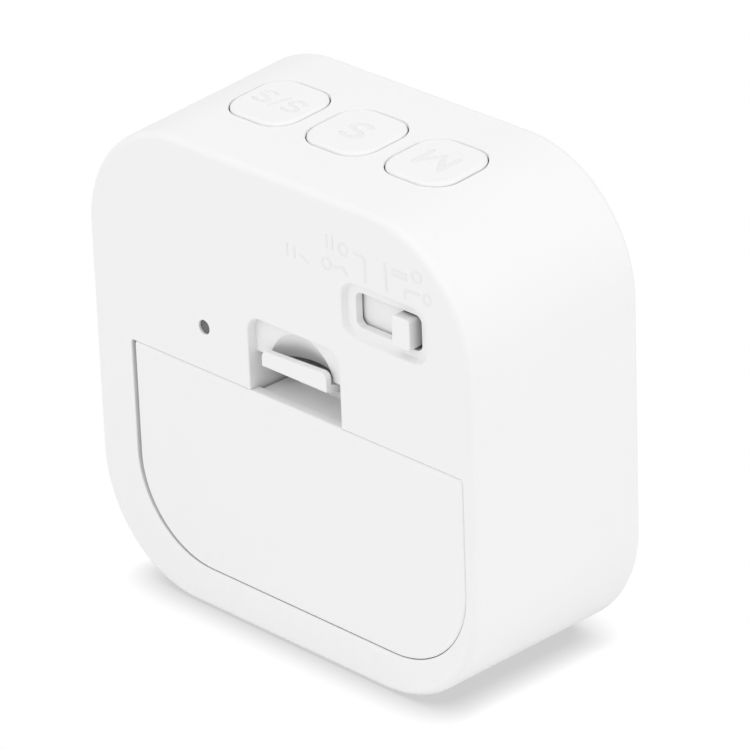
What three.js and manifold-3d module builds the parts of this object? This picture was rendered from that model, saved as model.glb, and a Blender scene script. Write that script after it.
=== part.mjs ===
// A digital kitchen timer: a white case that stands on its flat underside, with three keys on top,
// a slide switch, a sound hole and a battery door on the back, and a display in front.
// Millimetres, +Z up. X runs across, the display faces -Y and the battery door faces +Y.
import * as THREE from "three";
import { mergeVertices } from "three/addons/utils/BufferGeometryUtils.js";
import Module from "manifold-3d";

const wasm = await Module();
wasm.setup();

// Case: sizes at the back, and how much each side and the top grow towards the front
const BACK_WIDTH = 72.9;
const BACK_HEIGHT = 70;
const DEPTH = 30.6;
const CORNER_RADIUS = 18;
const SIDE_DRAFT = 1;
const TOP_DRAFT = 2;
const BACK_EDGE = 1;
const FRONT_EDGE = 1.1;
const WALL = 2.3;
const BACK_WALL = 2.2;
const RIM_WALL = 1.5;

// Facets: of a quarter of a large or small corner, of an edge, and of a whole round
const CORNER_STEPS = 9;
const SMALL_CORNER_STEPS = 5;
const EDGE_STEPS = 3;
const ROUND_SIDES = 20;
const SMALL_ROUND_SIDES = 12;
const LARGE_ROUND_SIDES = 32;

// Small clearances shared by the fits
const FACE_GAP = 0.3;
const TOUCH_GAP = 0.1;
const CUT_PAST = 1;

// Front panel and display
const BEZEL_THICKNESS = 2.4;
const BEZEL_GAP = 0.15;
const WINDOW_SIDE = 10.45;
const WINDOW_END = 18;
const WINDOW_RISE = 1;
const WINDOW_CORNER = 4;
const WINDOW_THICKNESS = 1.2;
const WINDOW_GAP = 0.15;
const WINDOW_LIP = 2;
const TAPE_THICKNESS = 0.3;
const TAPE_WIDTH = 1.4;
const LCD_MARGIN = 1.2;
const LCD_THICKNESS = 2.4;
const REFLECTOR_THICKNESS = 0.5;
const HOLDER_WALL = 1.5;
const ZEBRA_HEIGHT = 2.4;
const ZEBRA_EDGE = 0.6;
const CLIP_WIDTH = 8;
const CLIP_LENGTH = 6;
const CLIP_THICKNESS = 1.2;
const BARB_HEIGHT = 0.7;
const BARB_LENGTH = 1.3;

// Boards and their fasteners
const BOARD_THICKNESS = 1.2;
const BOARD_ROOM = 3.7;
const BOARD_SIDE_GAP = 1.4;
const BOARD_FLOOR_GAP = 5.2;
const BOARD_LOW_CORNER = 11;
const BOARD_HIGH_CORNER = 5;
const BOSS_RADIUS = 2.2;
const SCREW_SHANK = 0.9;
const SCREW_HEAD = 1.8;
const SCREW_HEAD_HEIGHT = 1.2;
const SCREW_BITE = 4;
const PILOT_END = 0.6;
const HIGH_POST_SIDE = 2.3;
const HIGH_POST_DROP = 5.5;
const LOW_POST_SIDE = 10.3;
const LOW_POST_RISE = 6.5;
const CHIP_RADIUS = 5;
const CHIP_HEIGHT = 1.6;
const CHIP_DROP = 11.5;
const CRYSTAL_RADIUS = 1;
const CRYSTAL_LENGTH = 6;
const CRYSTAL_X = 24;
const CRYSTAL_DROP = 7.5;

// Keys: they are numbered from -X, and stand a little proud of the sloping top
const KEY_NAMES = ["minute", "second", "start_stop"];
const KEY_ROW_X = -0.7;
const KEY_ROW_FROM_BACK = 15.75;
const KEY_PITCH = 14.8;
const KEY_SIZE = 11.75;
const KEY_CORNER = 3.8;
const KEY_EDGE = 0.6;
const KEY_GAP = 0.2;
const KEY_PROUD = 0.35;
const KEY_TRAVEL = 0.8;
const FLANGE_REACH = 1;
const FLANGE_THICKNESS = 1;
const FLANGE_GAP = 0.6;
const STEM_RADIUS = 2;
const STEM_LENGTH = 1.6;
const PLUNGER_RADIUS = 1.7;
const PLUNGER_SPARE = 0.4;
const PLUNGER_SUNK = 1;
const TACT_SIZE = 6;
const TACT_HEIGHT = 3.5;
const KEY_BOARD_BACK_REACH = 3;
const KEY_BOARD_FRONT_REACH = 5.5;
const KEY_POST_OFFSET = 24.5;
const KEY_BOARD_END = 2.7;
const RIBBON_WIDTH = 9;
const RIBBON_THICKNESS = 0.6;
const KEY_RIBBON_X = 9;
const KEY_RIBBON_LENGTH = 2.1;

// Slide switch: a sloped recess, a slot through its floor, and a knob on a shutter behind it
const SLOT_SIDE = 15.66;
const SLOT_DROP = 14.95;
const SLOT_WIDTH = 12.1;
const SLOT_HEIGHT = 5.05;
const SLOT_CORNER = 1;
const RECESS_SIDE = 1.8;
const RECESS_END = 1.5;
const RECESS_CORNER = 2.4;
const RECESS_DEPTH = 1;
const RECESS_SLOPE = 0.35;
const KNOB_WIDTH = 3.2;
const KNOB_HEIGHT = 4.4;
const KNOB_CORNER = 0.6;
const KNOB_EDGE = 0.35;
const KNOB_PROUD = 0.5;
const DETENT_PITCH = 3.61;
const SHUTTER_THICKNESS = 0.8;
const SHUTTER_GAP = 0.3;
const SHUTTER_HEIGHT = 6;
const SHUTTER_LONG_REACH = 11.9;
const SHUTTER_SHORT_REACH = 7;
const SWITCH_HEIGHT = 6;
const SWITCH_DEPTH = 4;
const SWITCH_END = 4;
const SWITCH_SLOT_DEPTH = 1.9;
const LEVER_SIZE = 2.4;
const LEVER_REACH = 2.8;
const SWITCH_BOARD_LOW = 4.5;
const SWITCH_BOARD_HIGH = 7.4;
const SWITCH_BOARD_SIDE = 2.6;
const SWITCH_POST_RISE = 5.5;
const SWITCH_POST_OFFSET = 7;
const SWITCH_RIBBON_DROP = 2;

// Sound hole and buzzer
const BUZZER_X = 14;
const BUZZER_DROP = 26.5;
const SOUND_HOLE_RADIUS = 1.05;
const BUZZER_RADIUS = 4.8;
const BUZZER_HEIGHT = 3.5;
const BUZZER_RING_WALL = 1.2;
const LEAD_RADIUS = 0.5;
const LEAD_SPREAD = 2;
const LEAD_SAG = 1.6;

// Battery bay, cells and contacts
const CELL_RADIUS = 5.25;
const CELL_LENGTH = 44.5;
const CELL_RIM = 0.5;
const NUB_RADIUS = 1.9;
const NUB_LENGTH = 0.8;
const CELL_PITCH = 11.1;
const CELL_PLAY = 0.35;
const TUB_WALL = 1.6;
const CONTACT_THICKNESS = 0.4;
const CONTACT_WIDTH = 9;
const TAIL_WIDTH = 2.5;
const SPRING_LENGTH = 5.6;
const SPRING_TURNS = 4;
const SPRING_BASE = 3.6;
const SPRING_TIP = 2.4;
const WIRE_RADIUS = 0.3;
const TURN_STEPS = 8;
const WIRE_SIDES = 5;

// Battery door, its tongues and its press latch: the door's opening is set in from the sides and the top
const DOOR_LEFT = 1.95;
const DOOR_RIGHT = 7.4;
const DOOR_LOW = 6.2;
const DOOR_DROP = 33.05;
const DOOR_CORNER = 13.85;
const DOOR_TOP_CORNER = 0.5;
const DOOR_GAP = 0.4;
const DOOR_SIDE_PLAY = 0.3;
const DOOR_THICKNESS = 1.6;
const BAY_SHIFT = -0.33;
const PAN_THICKNESS = 1.4;
const PAN_RIM = 1.4;
const TONGUE_OFFSET = 18;
const TONGUE_WIDTH = 8;
const TONGUE_THICKNESS = 1.2;
const TONGUE_DROP = 1.6;
const TONGUE_NECK = 1.8;
const TONGUE_SWING = 0.5;
const LATCH_SHIFT = -0.62;
const NOTCH_WIDTH = 17.45;
const NOTCH_HEIGHT = 11.1;
const NOTCH_CORNER = 2.4;
const NOTCH_DEPTH = 1.6;
const POCKET_WALL = 1.5;
const LATCH_REACH = 7.8;
const LATCH_STRIP = 1.1;
const LEDGE_GAP = 0.4;
const LIP_RISE = 4.45;
const LIP_WIDTH = 12.35;
const LIP_HEIGHT = 2.2;
const LIP_THICKNESS = 0.95;
const LIP_CORNER = 1;
const LIP_FOOT = 0.4;
const ARM_FALL = 1.8;
const KEEPER_RISE = 0.9;
const SCOOP_RADIUS = 6.1;
const SCOOP_DROP = 0.9;
const SCOOP_DEPTH = 2.7;

// Planes worked out from the sizes above
const BACK_Y = DEPTH / 2;
const FRONT_Y = -DEPTH / 2;
const WALL_Y = BACK_Y - BACK_WALL;
const BEZEL_Y = FRONT_Y + BEZEL_THICKNESS;
const DOOR_SEAT_Y = BACK_Y - DOOR_THICKNESS - TOUCH_GAP;
const CELL_Y = DOOR_SEAT_Y - FACE_GAP - CELL_RADIUS;
const BAY_FLOOR_Y = CELL_Y - CELL_RADIUS - FACE_GAP;
const BOARD_BACK_Y = BAY_FLOOR_Y - TUB_WALL - BOARD_ROOM;
const BOARD_FRONT_Y = BOARD_BACK_Y - BOARD_THICKNESS;
const KEY_ROW_Y = BACK_Y - KEY_ROW_FROM_BACK;
const topZ = (y) => BACK_HEIGHT + (TOP_DRAFT * (BACK_Y - y)) / DEPTH;

// Middles worked out from the sizes above
const WINDOW_WIDTH = BACK_WIDTH + 2 * SIDE_DRAFT - 2 * WINDOW_SIDE;
const WINDOW_HEIGHT = topZ(FRONT_Y) - 2 * WINDOW_END;
const WINDOW_MIDDLE_Z = topZ(FRONT_Y) / 2 + WINDOW_RISE;
const SLOT_X = SLOT_SIDE - BACK_WIDTH / 2;
const SLOT_Z = BACK_HEIGHT - SLOT_DROP;
const BUZZER_Z = BACK_HEIGHT - BUZZER_DROP;
const DOOR_X = (DOOR_LEFT - DOOR_RIGHT) / 2;
const DOOR_WIDTH = BACK_WIDTH - DOOR_LEFT - DOOR_RIGHT;
const DOOR_HIGH = BACK_HEIGHT - DOOR_DROP;
const LATCH_X = DOOR_X + LATCH_SHIFT;

// Solids

function toSolid(geometry) {
  geometry.deleteAttribute("normal");
  geometry.deleteAttribute("uv");
  const merged = mergeVertices(geometry, 1e-5);
  return new wasm.Manifold(
    new wasm.Mesh({
      numProp: 3,
      vertProperties: Float32Array.from(merged.attributes.position.array),
      triVerts: Uint32Array.from(merged.index.array),
    }),
  );
}

const join = (...solids) => solids.reduce((a, b) => a.add(b));
const cut = (solid, ...tools) => tools.reduce((a, b) => a.subtract(b), solid);
const span = (middle, size) => [middle - size / 2, middle + size / 2];

function box([x0, x1], [y0, y1], [z0, z1]) {
  const block = new THREE.BoxGeometry(x1 - x0, y1 - y0, z1 - z0);
  return toSolid(block.translate((x0 + x1) / 2, (y0 + y1) / 2, (z0 + z1) / 2));
}

// A round bar along x, y or z; its centre is given on the other two axes, in x, y, z order.
function rod(axis, radius, [from, to], [a, b], sides = ROUND_SIDES) {
  const bar = new THREE.CylinderGeometry(radius, radius, to - from, sides);
  const middle = (from + to) / 2;
  if (axis === "x") return toSolid(bar.rotateZ(-Math.PI / 2).translate(middle, a, b));
  if (axis === "y") return toSolid(bar.translate(a, middle, b));
  return toSolid(bar.rotateX(Math.PI / 2).translate(a, b, middle));
}

// Points of a rounded rectangle, counter-clockwise from the right of the top right corner.
function outline([x0, x1], [z0, z1], low, high = low, steps = CORNER_STEPS) {
  const corners = [
    [x1 - high, z1 - high, high],
    [x0 + high, z1 - high, high],
    [x0 + low, z0 + low, low],
    [x1 - low, z0 + low, low],
  ];
  return corners.flatMap(([x, z, radius], quarter) => {
    if (radius === 0) return [[x, z]];
    return Array.from({ length: steps + 1 }, (_, k) => {
      const angle = ((quarter + k / steps) * Math.PI) / 2;
      return [x + radius * Math.cos(angle), z + radius * Math.sin(angle)];
    });
  });
}

// A flat outline pushed along an axis: its points are [y, z] for x, [x, z] for y and [x, y] for z.
function prism(axis, points, [from, to]) {
  const shape = new THREE.Shape(points.map(([a, b]) => new THREE.Vector2(a, b)));
  const body = new THREE.ExtrudeGeometry(shape, { depth: to - from, bevelEnabled: false });
  const [X, Y, Z] = [0, 1, 2].map((i) => new THREE.Vector3().setComponent(i, 1));
  const turn = new THREE.Matrix4();
  if (axis === "x") turn.makeBasis(Y, Z, X).setPosition(from, 0, 0);
  if (axis === "y") turn.makeBasis(X, Z, Y.negate()).setPosition(0, to, 0);
  if (axis === "z") turn.makeTranslation(0, 0, from);
  return toSolid(body.applyMatrix4(turn));
}

// A solid through rings of points: each ring turns counter-clockwise about the way the rings go.
function loft(rings) {
  const count = rings[0].length;
  const last = (rings.length - 1) * count;
  const faces = [];
  for (let start = 0; start < last; start += count) {
    for (let i = 0; i < count; i++) {
      const [a, b] = [start + i, start + ((i + 1) % count)];
      faces.push(a, b, b + count, a, b + count, a + count);
    }
  }
  for (let i = 1; i + 1 < count; i++) {
    faces.push(0, i + 1, i, last, last + i, last + i + 1);
  }
  const skin = new THREE.BufferGeometry();
  const numbers = rings.flat().flatMap((p) => [p.x, p.y, p.z]);
  skin.setAttribute("position", new THREE.Float32BufferAttribute(numbers, 3));
  skin.setIndex(faces);
  return toSolid(skin);
}

// Steps round a quarter circle: how far each is from the end face, and how far in from the side.
const edgeSteps = (radius) =>
  Array.from({ length: EDGE_STEPS + 1 }, (_, k) => {
    const angle = ((k / EDGE_STEPS) * Math.PI) / 2;
    return [radius * (1 - Math.cos(angle)), radius * (1 - Math.sin(angle))];
  });

const group = new THREE.Group();

function place(name, solid, color, roughness, metalness = 0) {
  const { vertProperties, triVerts } = solid.getMesh();
  const skin = new THREE.BufferGeometry();
  skin.setAttribute("position", new THREE.Float32BufferAttribute(vertProperties, 3));
  skin.setIndex(new THREE.BufferAttribute(triVerts, 1));
  skin.computeVertexNormals();
  const mesh = new THREE.Mesh(
    skin,
    new THREE.MeshStandardMaterial({ color, roughness, metalness }),
  );
  mesh.name = name;
  group.add(mesh);
}

const WHITE_PLASTIC = [0xf2f2f0, 0.45];
const BOARD_GREEN = [0x2f6b43, 0.6];
const STEEL = [0xb9bcc0, 0.3, 1];
const BLACK_PLASTIC = [0x1c1c1e, 0.5];

// Case outline at one depth, set in from the outer skin
function caseRing(y, inset) {
  const grow = (BACK_Y - y) / DEPTH;
  const half = BACK_WIDTH / 2 + SIDE_DRAFT * grow - inset;
  const radius = CORNER_RADIUS + SIDE_DRAFT * grow - inset;
  const points = outline([-half, half], [inset, topZ(y) - inset], radius);
  return points.map(([x, z]) => new THREE.Vector3(x, y, z));
}

const caseSlice = (inset, [front, back]) => loft([caseRing(back, inset), caseRing(front, inset)]);
const wallHalfWidth = (y) => BACK_WIDTH / 2 + (SIDE_DRAFT * (BACK_Y - y)) / DEPTH - WALL;

// Inside of the case, half a wall deep: what is moulded onto the walls is trimmed to it
const moulded = caseSlice(WALL / 2, [BEZEL_Y, BACK_Y - BACK_WALL / 2]);
const ontoWall = (solid) => solid.intersect(moulded);

// Battery bay: two cells lie across it, one each way round
const BAY_LENGTH =
  2 * (TOUCH_GAP + CONTACT_THICKNESS) + TOUCH_GAP + CELL_LENGTH + SPRING_LENGTH;
const BAY_X = span(DOOR_X + BAY_SHIFT, BAY_LENGTH);
const BAY_MIDDLE_Z = (DOOR_LOW + DOOR_HIGH) / 2;
const BAY_HEIGHT = CELL_PITCH + 2 * (CELL_RADIUS + CELL_PLAY);
const BAY_Z = span(BAY_MIDDLE_Z, BAY_HEIGHT);
const LOW_PLATE_X = BAY_X[0] + TOUCH_GAP;
const HIGH_PLATE_X = BAY_X[1] - TOUCH_GAP - CONTACT_THICKNESS;

// Door and latch places
const DOOR_INNER_Y = BACK_Y - DOOR_THICKNESS;
const DOOR_TOP = DOOR_HIGH - DOOR_GAP;
const DOOR_BOTTOM = DOOR_LOW + DOOR_GAP;
const LIP_LOW = DOOR_HIGH + LIP_RISE;
const LIP_TOP = LIP_LOW + LIP_HEIGHT;
const KEEPER_Z = LIP_LOW + KEEPER_RISE;
const NOTCH_TOP = DOOR_HIGH + NOTCH_HEIGHT;
const NOTCH_X = span(LATCH_X, NOTCH_WIDTH);
const LATCH_BACK_Y = BACK_Y - LATCH_REACH;
const LATCH_PIVOT = [LATCH_BACK_Y + LATCH_STRIP / 2, LIP_LOW - ARM_FALL];
const TONGUE_Y = [WALL_Y - FACE_GAP - TONGUE_THICKNESS, WALL_Y - FACE_GAP];
const TONGUE_X = [-1, 1].map((side) => DOOR_X + side * TONGUE_OFFSET);

const openingOutline = (grow) =>
  outline(
    span(DOOR_X, DOOR_WIDTH + 2 * grow),
    [DOOR_LOW - grow, DOOR_HIGH + grow],
    DOOR_CORNER + grow,
    DOOR_TOP_CORNER,
  );

// Slots through the pan that let the tongues in and swing: they are as deep as the tongue's corner
function tongueSlot(x) {
  const across = span(x, TONGUE_WIDTH + 2 * TONGUE_SWING);
  const reach = Math.hypot(BACK_Y - TONGUE_Y[0], TONGUE_DROP + DOOR_GAP) + TONGUE_SWING;
  const rise = BACK_Y - TONGUE_Y[0] + TONGUE_NECK;
  const behindWall = box(
    across,
    [BACK_Y - reach, WALL_Y],
    [DOOR_LOW - TONGUE_DROP - TONGUE_SWING, DOOR_LOW + rise],
  );
  const throughPan = box(across, [WALL_Y - CUT_PAST, BACK_Y], [DOOR_LOW, DOOR_LOW + rise]);
  return join(behindWall, throughPan);
}

function batteryTub() {
  const pan = prism("y", openingOutline(PAN_RIM), [DOOR_SEAT_Y - PAN_THICKNESS, BACK_Y]);
  const tub = box(
    [BAY_X[0] - TUB_WALL, BAY_X[1] + TUB_WALL],
    [BAY_FLOOR_Y - TUB_WALL, DOOR_SEAT_Y],
    [BAY_Z[0] - TUB_WALL, BAY_Z[1] + TUB_WALL],
  );
  return join(pan, tub);
}

const contactZ = (row) => BAY_MIDDLE_Z + (row * CELL_PITCH) / 2;

// Openings of the bay: the door's seat, the bay itself, slots for the two contact tails and the tongues
function batteryOpenings() {
  const seat = prism("y", openingOutline(0), [DOOR_SEAT_Y, BACK_Y + CUT_PAST]);
  const bay = box(BAY_X, [BAY_FLOOR_Y, BACK_Y], BAY_Z);
  const tails = [-1, 1].map((row) =>
    box(
      [BAY_X[0] - TOUCH_GAP, LOW_PLATE_X + CONTACT_THICKNESS + FACE_GAP],
      [BAY_FLOOR_Y - TUB_WALL - CUT_PAST, BAY_FLOOR_Y + CUT_PAST],
      span(contactZ(row), TAIL_WIDTH + 2 * FACE_GAP),
    ),
  );
  return join(seat, bay, ...tails, ...TONGUE_X.map(tongueSlot));
}

// The block behind the latch notch, and the notch, pocket and finger scoop that are cut into it
const latchBlock = () =>
  box(
    [NOTCH_X[0] - POCKET_WALL, NOTCH_X[1] + POCKET_WALL],
    [LATCH_BACK_Y - 2 * POCKET_WALL, BACK_Y],
    [DOOR_TOP - LATCH_STRIP - 2 * POCKET_WALL, NOTCH_TOP + POCKET_WALL],
  );

function latchOpenings() {
  const floorY = BACK_Y - NOTCH_DEPTH;
  const scoopTop = NOTCH_TOP - SCOOP_DROP;
  const notch = prism(
    "y",
    outline(NOTCH_X, [DOOR_TOP, NOTCH_TOP], 0, NOTCH_CORNER),
    [floorY, BACK_Y + CUT_PAST],
  );
  const pocket = box(
    NOTCH_X,
    [LATCH_BACK_Y - POCKET_WALL, BACK_Y],
    [DOOR_TOP - LATCH_STRIP - FACE_GAP, KEEPER_Z],
  );
  const wedge = prism(
    "x",
    [
      [BACK_Y, LIP_LOW],
      [floorY - SCOOP_DEPTH, LIP_LOW],
      [floorY - SCOOP_DEPTH, KEEPER_Z],
      [floorY, scoopTop],
      [BACK_Y, scoopTop],
    ],
    NOTCH_X,
  );
  const round = rod(
    "y",
    SCOOP_RADIUS,
    [floorY - SCOOP_DEPTH, BACK_Y],
    [LATCH_X, scoopTop - SCOOP_RADIUS],
    LARGE_ROUND_SIDES,
  );
  return join(notch, pocket, wedge.intersect(round));
}

// Slide switch places
const KNOB_X = SLOT_X - DETENT_PITCH;
const SHUTTER_Y = [WALL_Y - SHUTTER_GAP - SHUTTER_THICKNESS, WALL_Y - SHUTTER_GAP];
const SWITCH_FRONT_Y = SHUTTER_Y[0] - LEVER_REACH;
const SWITCH_BOARD_Y = SWITCH_FRONT_Y - SWITCH_DEPTH;
const SWITCH_POSTS = [-1, 1].map((side) => [
  SLOT_X + side * SWITCH_POST_OFFSET,
  SLOT_Z + SWITCH_POST_RISE,
]);

function switchOpening() {
  const edge = (grow, y) =>
    outline(
      span(SLOT_X, SLOT_WIDTH + 2 * (RECESS_SIDE + grow)),
      span(SLOT_Z, SLOT_HEIGHT + 2 * (RECESS_END + grow)),
      RECESS_CORNER + grow,
    ).map(([x, z]) => new THREE.Vector3(x, y, z));
  const recess = loft([
    edge(0, BACK_Y + CUT_PAST),
    edge(0, BACK_Y),
    edge(-RECESS_SLOPE, BACK_Y - RECESS_DEPTH),
  ]);
  const slot = prism(
    "y",
    outline(
      span(SLOT_X, SLOT_WIDTH),
      span(SLOT_Z, SLOT_HEIGHT),
      SLOT_CORNER,
      SLOT_CORNER,
      SMALL_CORNER_STEPS,
    ),
    [WALL_Y - CUT_PAST, BACK_Y],
  );
  return join(recess, slot);
}

// Keys: levels from the sloping top downwards
const KEYS = KEY_NAMES.map((name, i) => ({ name, x: KEY_ROW_X + (i - 1) * KEY_PITCH }));
const KEY_TOP = topZ(KEY_ROW_Y);
const STEM_END = KEY_TOP - WALL - FLANGE_GAP - FLANGE_THICKNESS - STEM_LENGTH;
const TACT_TOP = STEM_END - KEY_TRAVEL - PLUNGER_SPARE;
const KEY_BOARD_TOP = TACT_TOP - TACT_HEIGHT;
const KEY_BOARD_Z = [KEY_BOARD_TOP - BOARD_THICKNESS, KEY_BOARD_TOP];
const KEY_POSTS = [-1, 1].map((side) => [KEY_ROW_X + side * KEY_POST_OFFSET, KEY_ROW_Y]);

// Main board places: it stands between the base and the key board, and its posts follow its edges
const BOARD_HALF_WIDTH = wallHalfWidth(BOARD_BACK_Y) - BOARD_SIDE_GAP;
const BOARD_LOW = WALL + BOARD_FLOOR_GAP;
const BOARD_HIGH = KEY_BOARD_Z[0] - KEY_RIBBON_LENGTH;
const BOARD_SCREWS = [
  [BOARD_HALF_WIDTH - HIGH_POST_SIDE, BOARD_HIGH - HIGH_POST_DROP],
  [BOARD_HALF_WIDTH - LOW_POST_SIDE, BOARD_LOW + LOW_POST_RISE],
].flatMap(([x, z]) => [[-x, z], [x, z]]);

// A rounded key outline, so wide and so deep, at a height over the sloping top
function keyRing(x, wide, deep, corner, height) {
  const points = outline(span(x, wide), span(KEY_ROW_Y, deep), corner, corner, SMALL_CORNER_STEPS);
  return points.map(([px, py]) => new THREE.Vector3(px, py, topZ(py) + height));
}

function keyHole({ x }) {
  const size = KEY_SIZE + 2 * KEY_GAP;
  const heights = [STEM_END - KEY_TOP, CUT_PAST];
  return loft(heights.map((height) => keyRing(x, size, size, KEY_CORNER + KEY_GAP, height)));
}

// Main housing: back, sides, top and base in one moulding, open at the front
function housing() {
  const backEdge = edgeSteps(BACK_EDGE).map(([drop, inset]) => [BACK_Y - drop, inset]);
  const frontEdge = edgeSteps(FRONT_EDGE).map(([drop, inset]) => [FRONT_Y + drop, inset]);
  const skin = loft([...backEdge, ...frontEdge.reverse()].map(([y, inset]) => caseRing(y, inset)));
  const hollow = caseSlice(WALL, [FRONT_Y - CUT_PAST, WALL_Y]);
  const rim = caseSlice(RIM_WALL, [FRONT_Y - CUT_PAST, BEZEL_Y]);
  const keyPosts = KEY_POSTS.map((at) => rod("z", BOSS_RADIUS, [KEY_BOARD_TOP, KEY_TOP], at));
  const switchPosts = SWITCH_POSTS.map((at) => rod("y", BOSS_RADIUS, [SWITCH_BOARD_Y, BACK_Y], at));
  const ring = rod(
    "y",
    BUZZER_RADIUS + FACE_GAP + BUZZER_RING_WALL,
    [WALL_Y - BUZZER_HEIGHT, BACK_Y],
    [BUZZER_X, BUZZER_Z],
    LARGE_ROUND_SIDES,
  );
  const ringBore = rod(
    "y",
    BUZZER_RADIUS + FACE_GAP,
    [WALL_Y - BUZZER_HEIGHT - CUT_PAST, WALL_Y],
    [BUZZER_X, BUZZER_Z],
    LARGE_ROUND_SIDES,
  );
  const shell = join(
    cut(skin, hollow, rim),
    ontoWall(join(batteryTub(), latchBlock(), ring, ...keyPosts, ...switchPosts)),
  );
  const pilot = SCREW_SHANK + FACE_GAP;
  const depth = SCREW_BITE + PILOT_END;
  const barbs = [-1, 1].map((side) => {
    const inner = wallHalfWidth(BARB_Y[0]) - CUT_PAST;
    const outer = CLIP_OUTER_X + BARB_HEIGHT + FACE_GAP;
    return box(
      [Math.min(side * inner, side * outer), Math.max(side * inner, side * outer)],
      [BARB_Y[0] - FACE_GAP, BARB_Y[1] + FACE_GAP],
      span(WINDOW_MIDDLE_Z, CLIP_WIDTH + 2 * FACE_GAP),
    );
  });
  return cut(
    shell,
    batteryOpenings(),
    latchOpenings(),
    switchOpening(),
    ringBore,
    rod("y", SOUND_HOLE_RADIUS, [WALL_Y - CUT_PAST, BACK_Y + CUT_PAST], [BUZZER_X, BUZZER_Z]),
    ...KEYS.map(keyHole),
    ...KEY_POSTS.map((at) =>
      rod("z", pilot, [KEY_BOARD_TOP - CUT_PAST, KEY_BOARD_TOP + depth], at, SMALL_ROUND_SIDES),
    ),
    ...SWITCH_POSTS.map((at) =>
      rod("y", pilot, [SWITCH_BOARD_Y - CUT_PAST, SWITCH_BOARD_Y + depth], at, SMALL_ROUND_SIDES),
    ),
    ...barbs,
  );
}

// Front panel: it drops into the rim, holds the window and clips behind the side walls
const CLIP_END_Y = BEZEL_Y + CLIP_LENGTH;
const BARB_Y = [CLIP_END_Y - BARB_LENGTH, CLIP_END_Y];
const CLIP_OUTER_X = wallHalfWidth(CLIP_END_Y) - FACE_GAP;
const windowOutline = (grow) =>
  outline(
    span(0, WINDOW_WIDTH + 2 * grow),
    span(WINDOW_MIDDLE_Z, WINDOW_HEIGHT + 2 * grow),
    WINDOW_CORNER + grow,
    WINDOW_CORNER + grow,
    SMALL_CORNER_STEPS,
  );

function bezel() {
  const plate = caseSlice(RIM_WALL + BEZEL_GAP, [FRONT_Y, BEZEL_Y]);
  const seat = prism("y", windowOutline(WINDOW_GAP), [
    FRONT_Y - CUT_PAST,
    FRONT_Y + WINDOW_THICKNESS + TAPE_THICKNESS,
  ]);
  const view = prism("y", windowOutline(-WINDOW_LIP), [FRONT_Y, BEZEL_Y + CUT_PAST]);
  const posts = BOARD_SCREWS.map((at) => rod("y", BOSS_RADIUS, [BEZEL_Y - TOUCH_GAP, BOARD_FRONT_Y], at));
  const pilots = BOARD_SCREWS.map((at) =>
    rod(
      "y",
      SCREW_SHANK + FACE_GAP,
      [BOARD_FRONT_Y - SCREW_BITE - PILOT_END, BOARD_FRONT_Y + CUT_PAST],
      at,
      SMALL_ROUND_SIDES,
    ),
  );
  const clips = [-1, 1].map((side) => {
    const reach = (from, to) => [Math.min(side * from, side * to), Math.max(side * from, side * to)];
    const across = span(WINDOW_MIDDLE_Z, CLIP_WIDTH);
    const strip = box(
      reach(CLIP_OUTER_X - CLIP_THICKNESS, CLIP_OUTER_X),
      [BEZEL_Y - TOUCH_GAP, CLIP_END_Y],
      across,
    );
    const barb = box(reach(CLIP_OUTER_X - CLIP_THICKNESS, CLIP_OUTER_X + BARB_HEIGHT), BARB_Y, across);
    return join(strip, barb);
  });
  return cut(join(plate, ...posts, ...clips), seat, view, ...pilots);
}

function displayStack() {
  const windowBack = FRONT_Y + WINDOW_THICKNESS;
  const tapeBack = windowBack + TAPE_THICKNESS;
  const tape = cut(
    prism("y", windowOutline(0), [windowBack, tapeBack]),
    prism("y", windowOutline(-TAPE_WIDTH), [windowBack - CUT_PAST, tapeBack + CUT_PAST]),
  );
  place("display_window", prism("y", windowOutline(0), [FRONT_Y, windowBack]), 0x30363a, 0.08);
  place("window_tape", tape, 0x18181a, 0.7);

  const width = WINDOW_WIDTH - 2 * WINDOW_LIP + 2 * LCD_MARGIN;
  const height = WINDOW_HEIGHT - 2 * WINDOW_LIP + 2 * LCD_MARGIN;
  const [low, high] = span(WINDOW_MIDDLE_Z, height);
  const glassBack = BEZEL_Y + LCD_THICKNESS;
  const zebraTop = low + ZEBRA_EDGE + ZEBRA_HEIGHT;
  place("lcd_panel", box(span(0, width), [BEZEL_Y, glassBack], [low, high]), 0x9aa58c, 0.2);
  place(
    "lcd_reflector",
    box(span(0, width), [glassBack, glassBack + REFLECTOR_THICKNESS], [zebraTop + FACE_GAP, high]),
    0xe8e8e2,
    0.6,
  );
  place(
    "zebra_connector",
    box(span(0, width - 2 * HOLDER_WALL), [glassBack, BOARD_FRONT_Y], [low + ZEBRA_EDGE, zebraTop]),
    0x5a5a60,
    0.8,
  );
  const frame = (grow, y) =>
    box(span(0, width + 2 * grow), y, span(WINDOW_MIDDLE_Z, height + 2 * grow));
  place(
    "lcd_holder",
    cut(
      frame(FACE_GAP + HOLDER_WALL, [BEZEL_Y, BOARD_FRONT_Y]),
      frame(FACE_GAP, [BEZEL_Y - CUT_PAST, BOARD_FRONT_Y + CUT_PAST]),
    ),
    ...WHITE_PLASTIC,
  );
}

// A self-tapping screw: its head rests on a board and its shank runs into a post
function screw(axis, seat, way, at) {
  const order = (a, b) => [Math.min(a, b), Math.max(a, b)];
  const tip = seat + way * (BOARD_THICKNESS + SCREW_BITE);
  return join(
    rod(axis, SCREW_HEAD, order(seat, seat - way * SCREW_HEAD_HEIGHT), at, SMALL_ROUND_SIDES),
    rod(axis, SCREW_SHANK, order(seat - way * TOUCH_GAP, tip), at, SMALL_ROUND_SIDES),
  );
}

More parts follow.
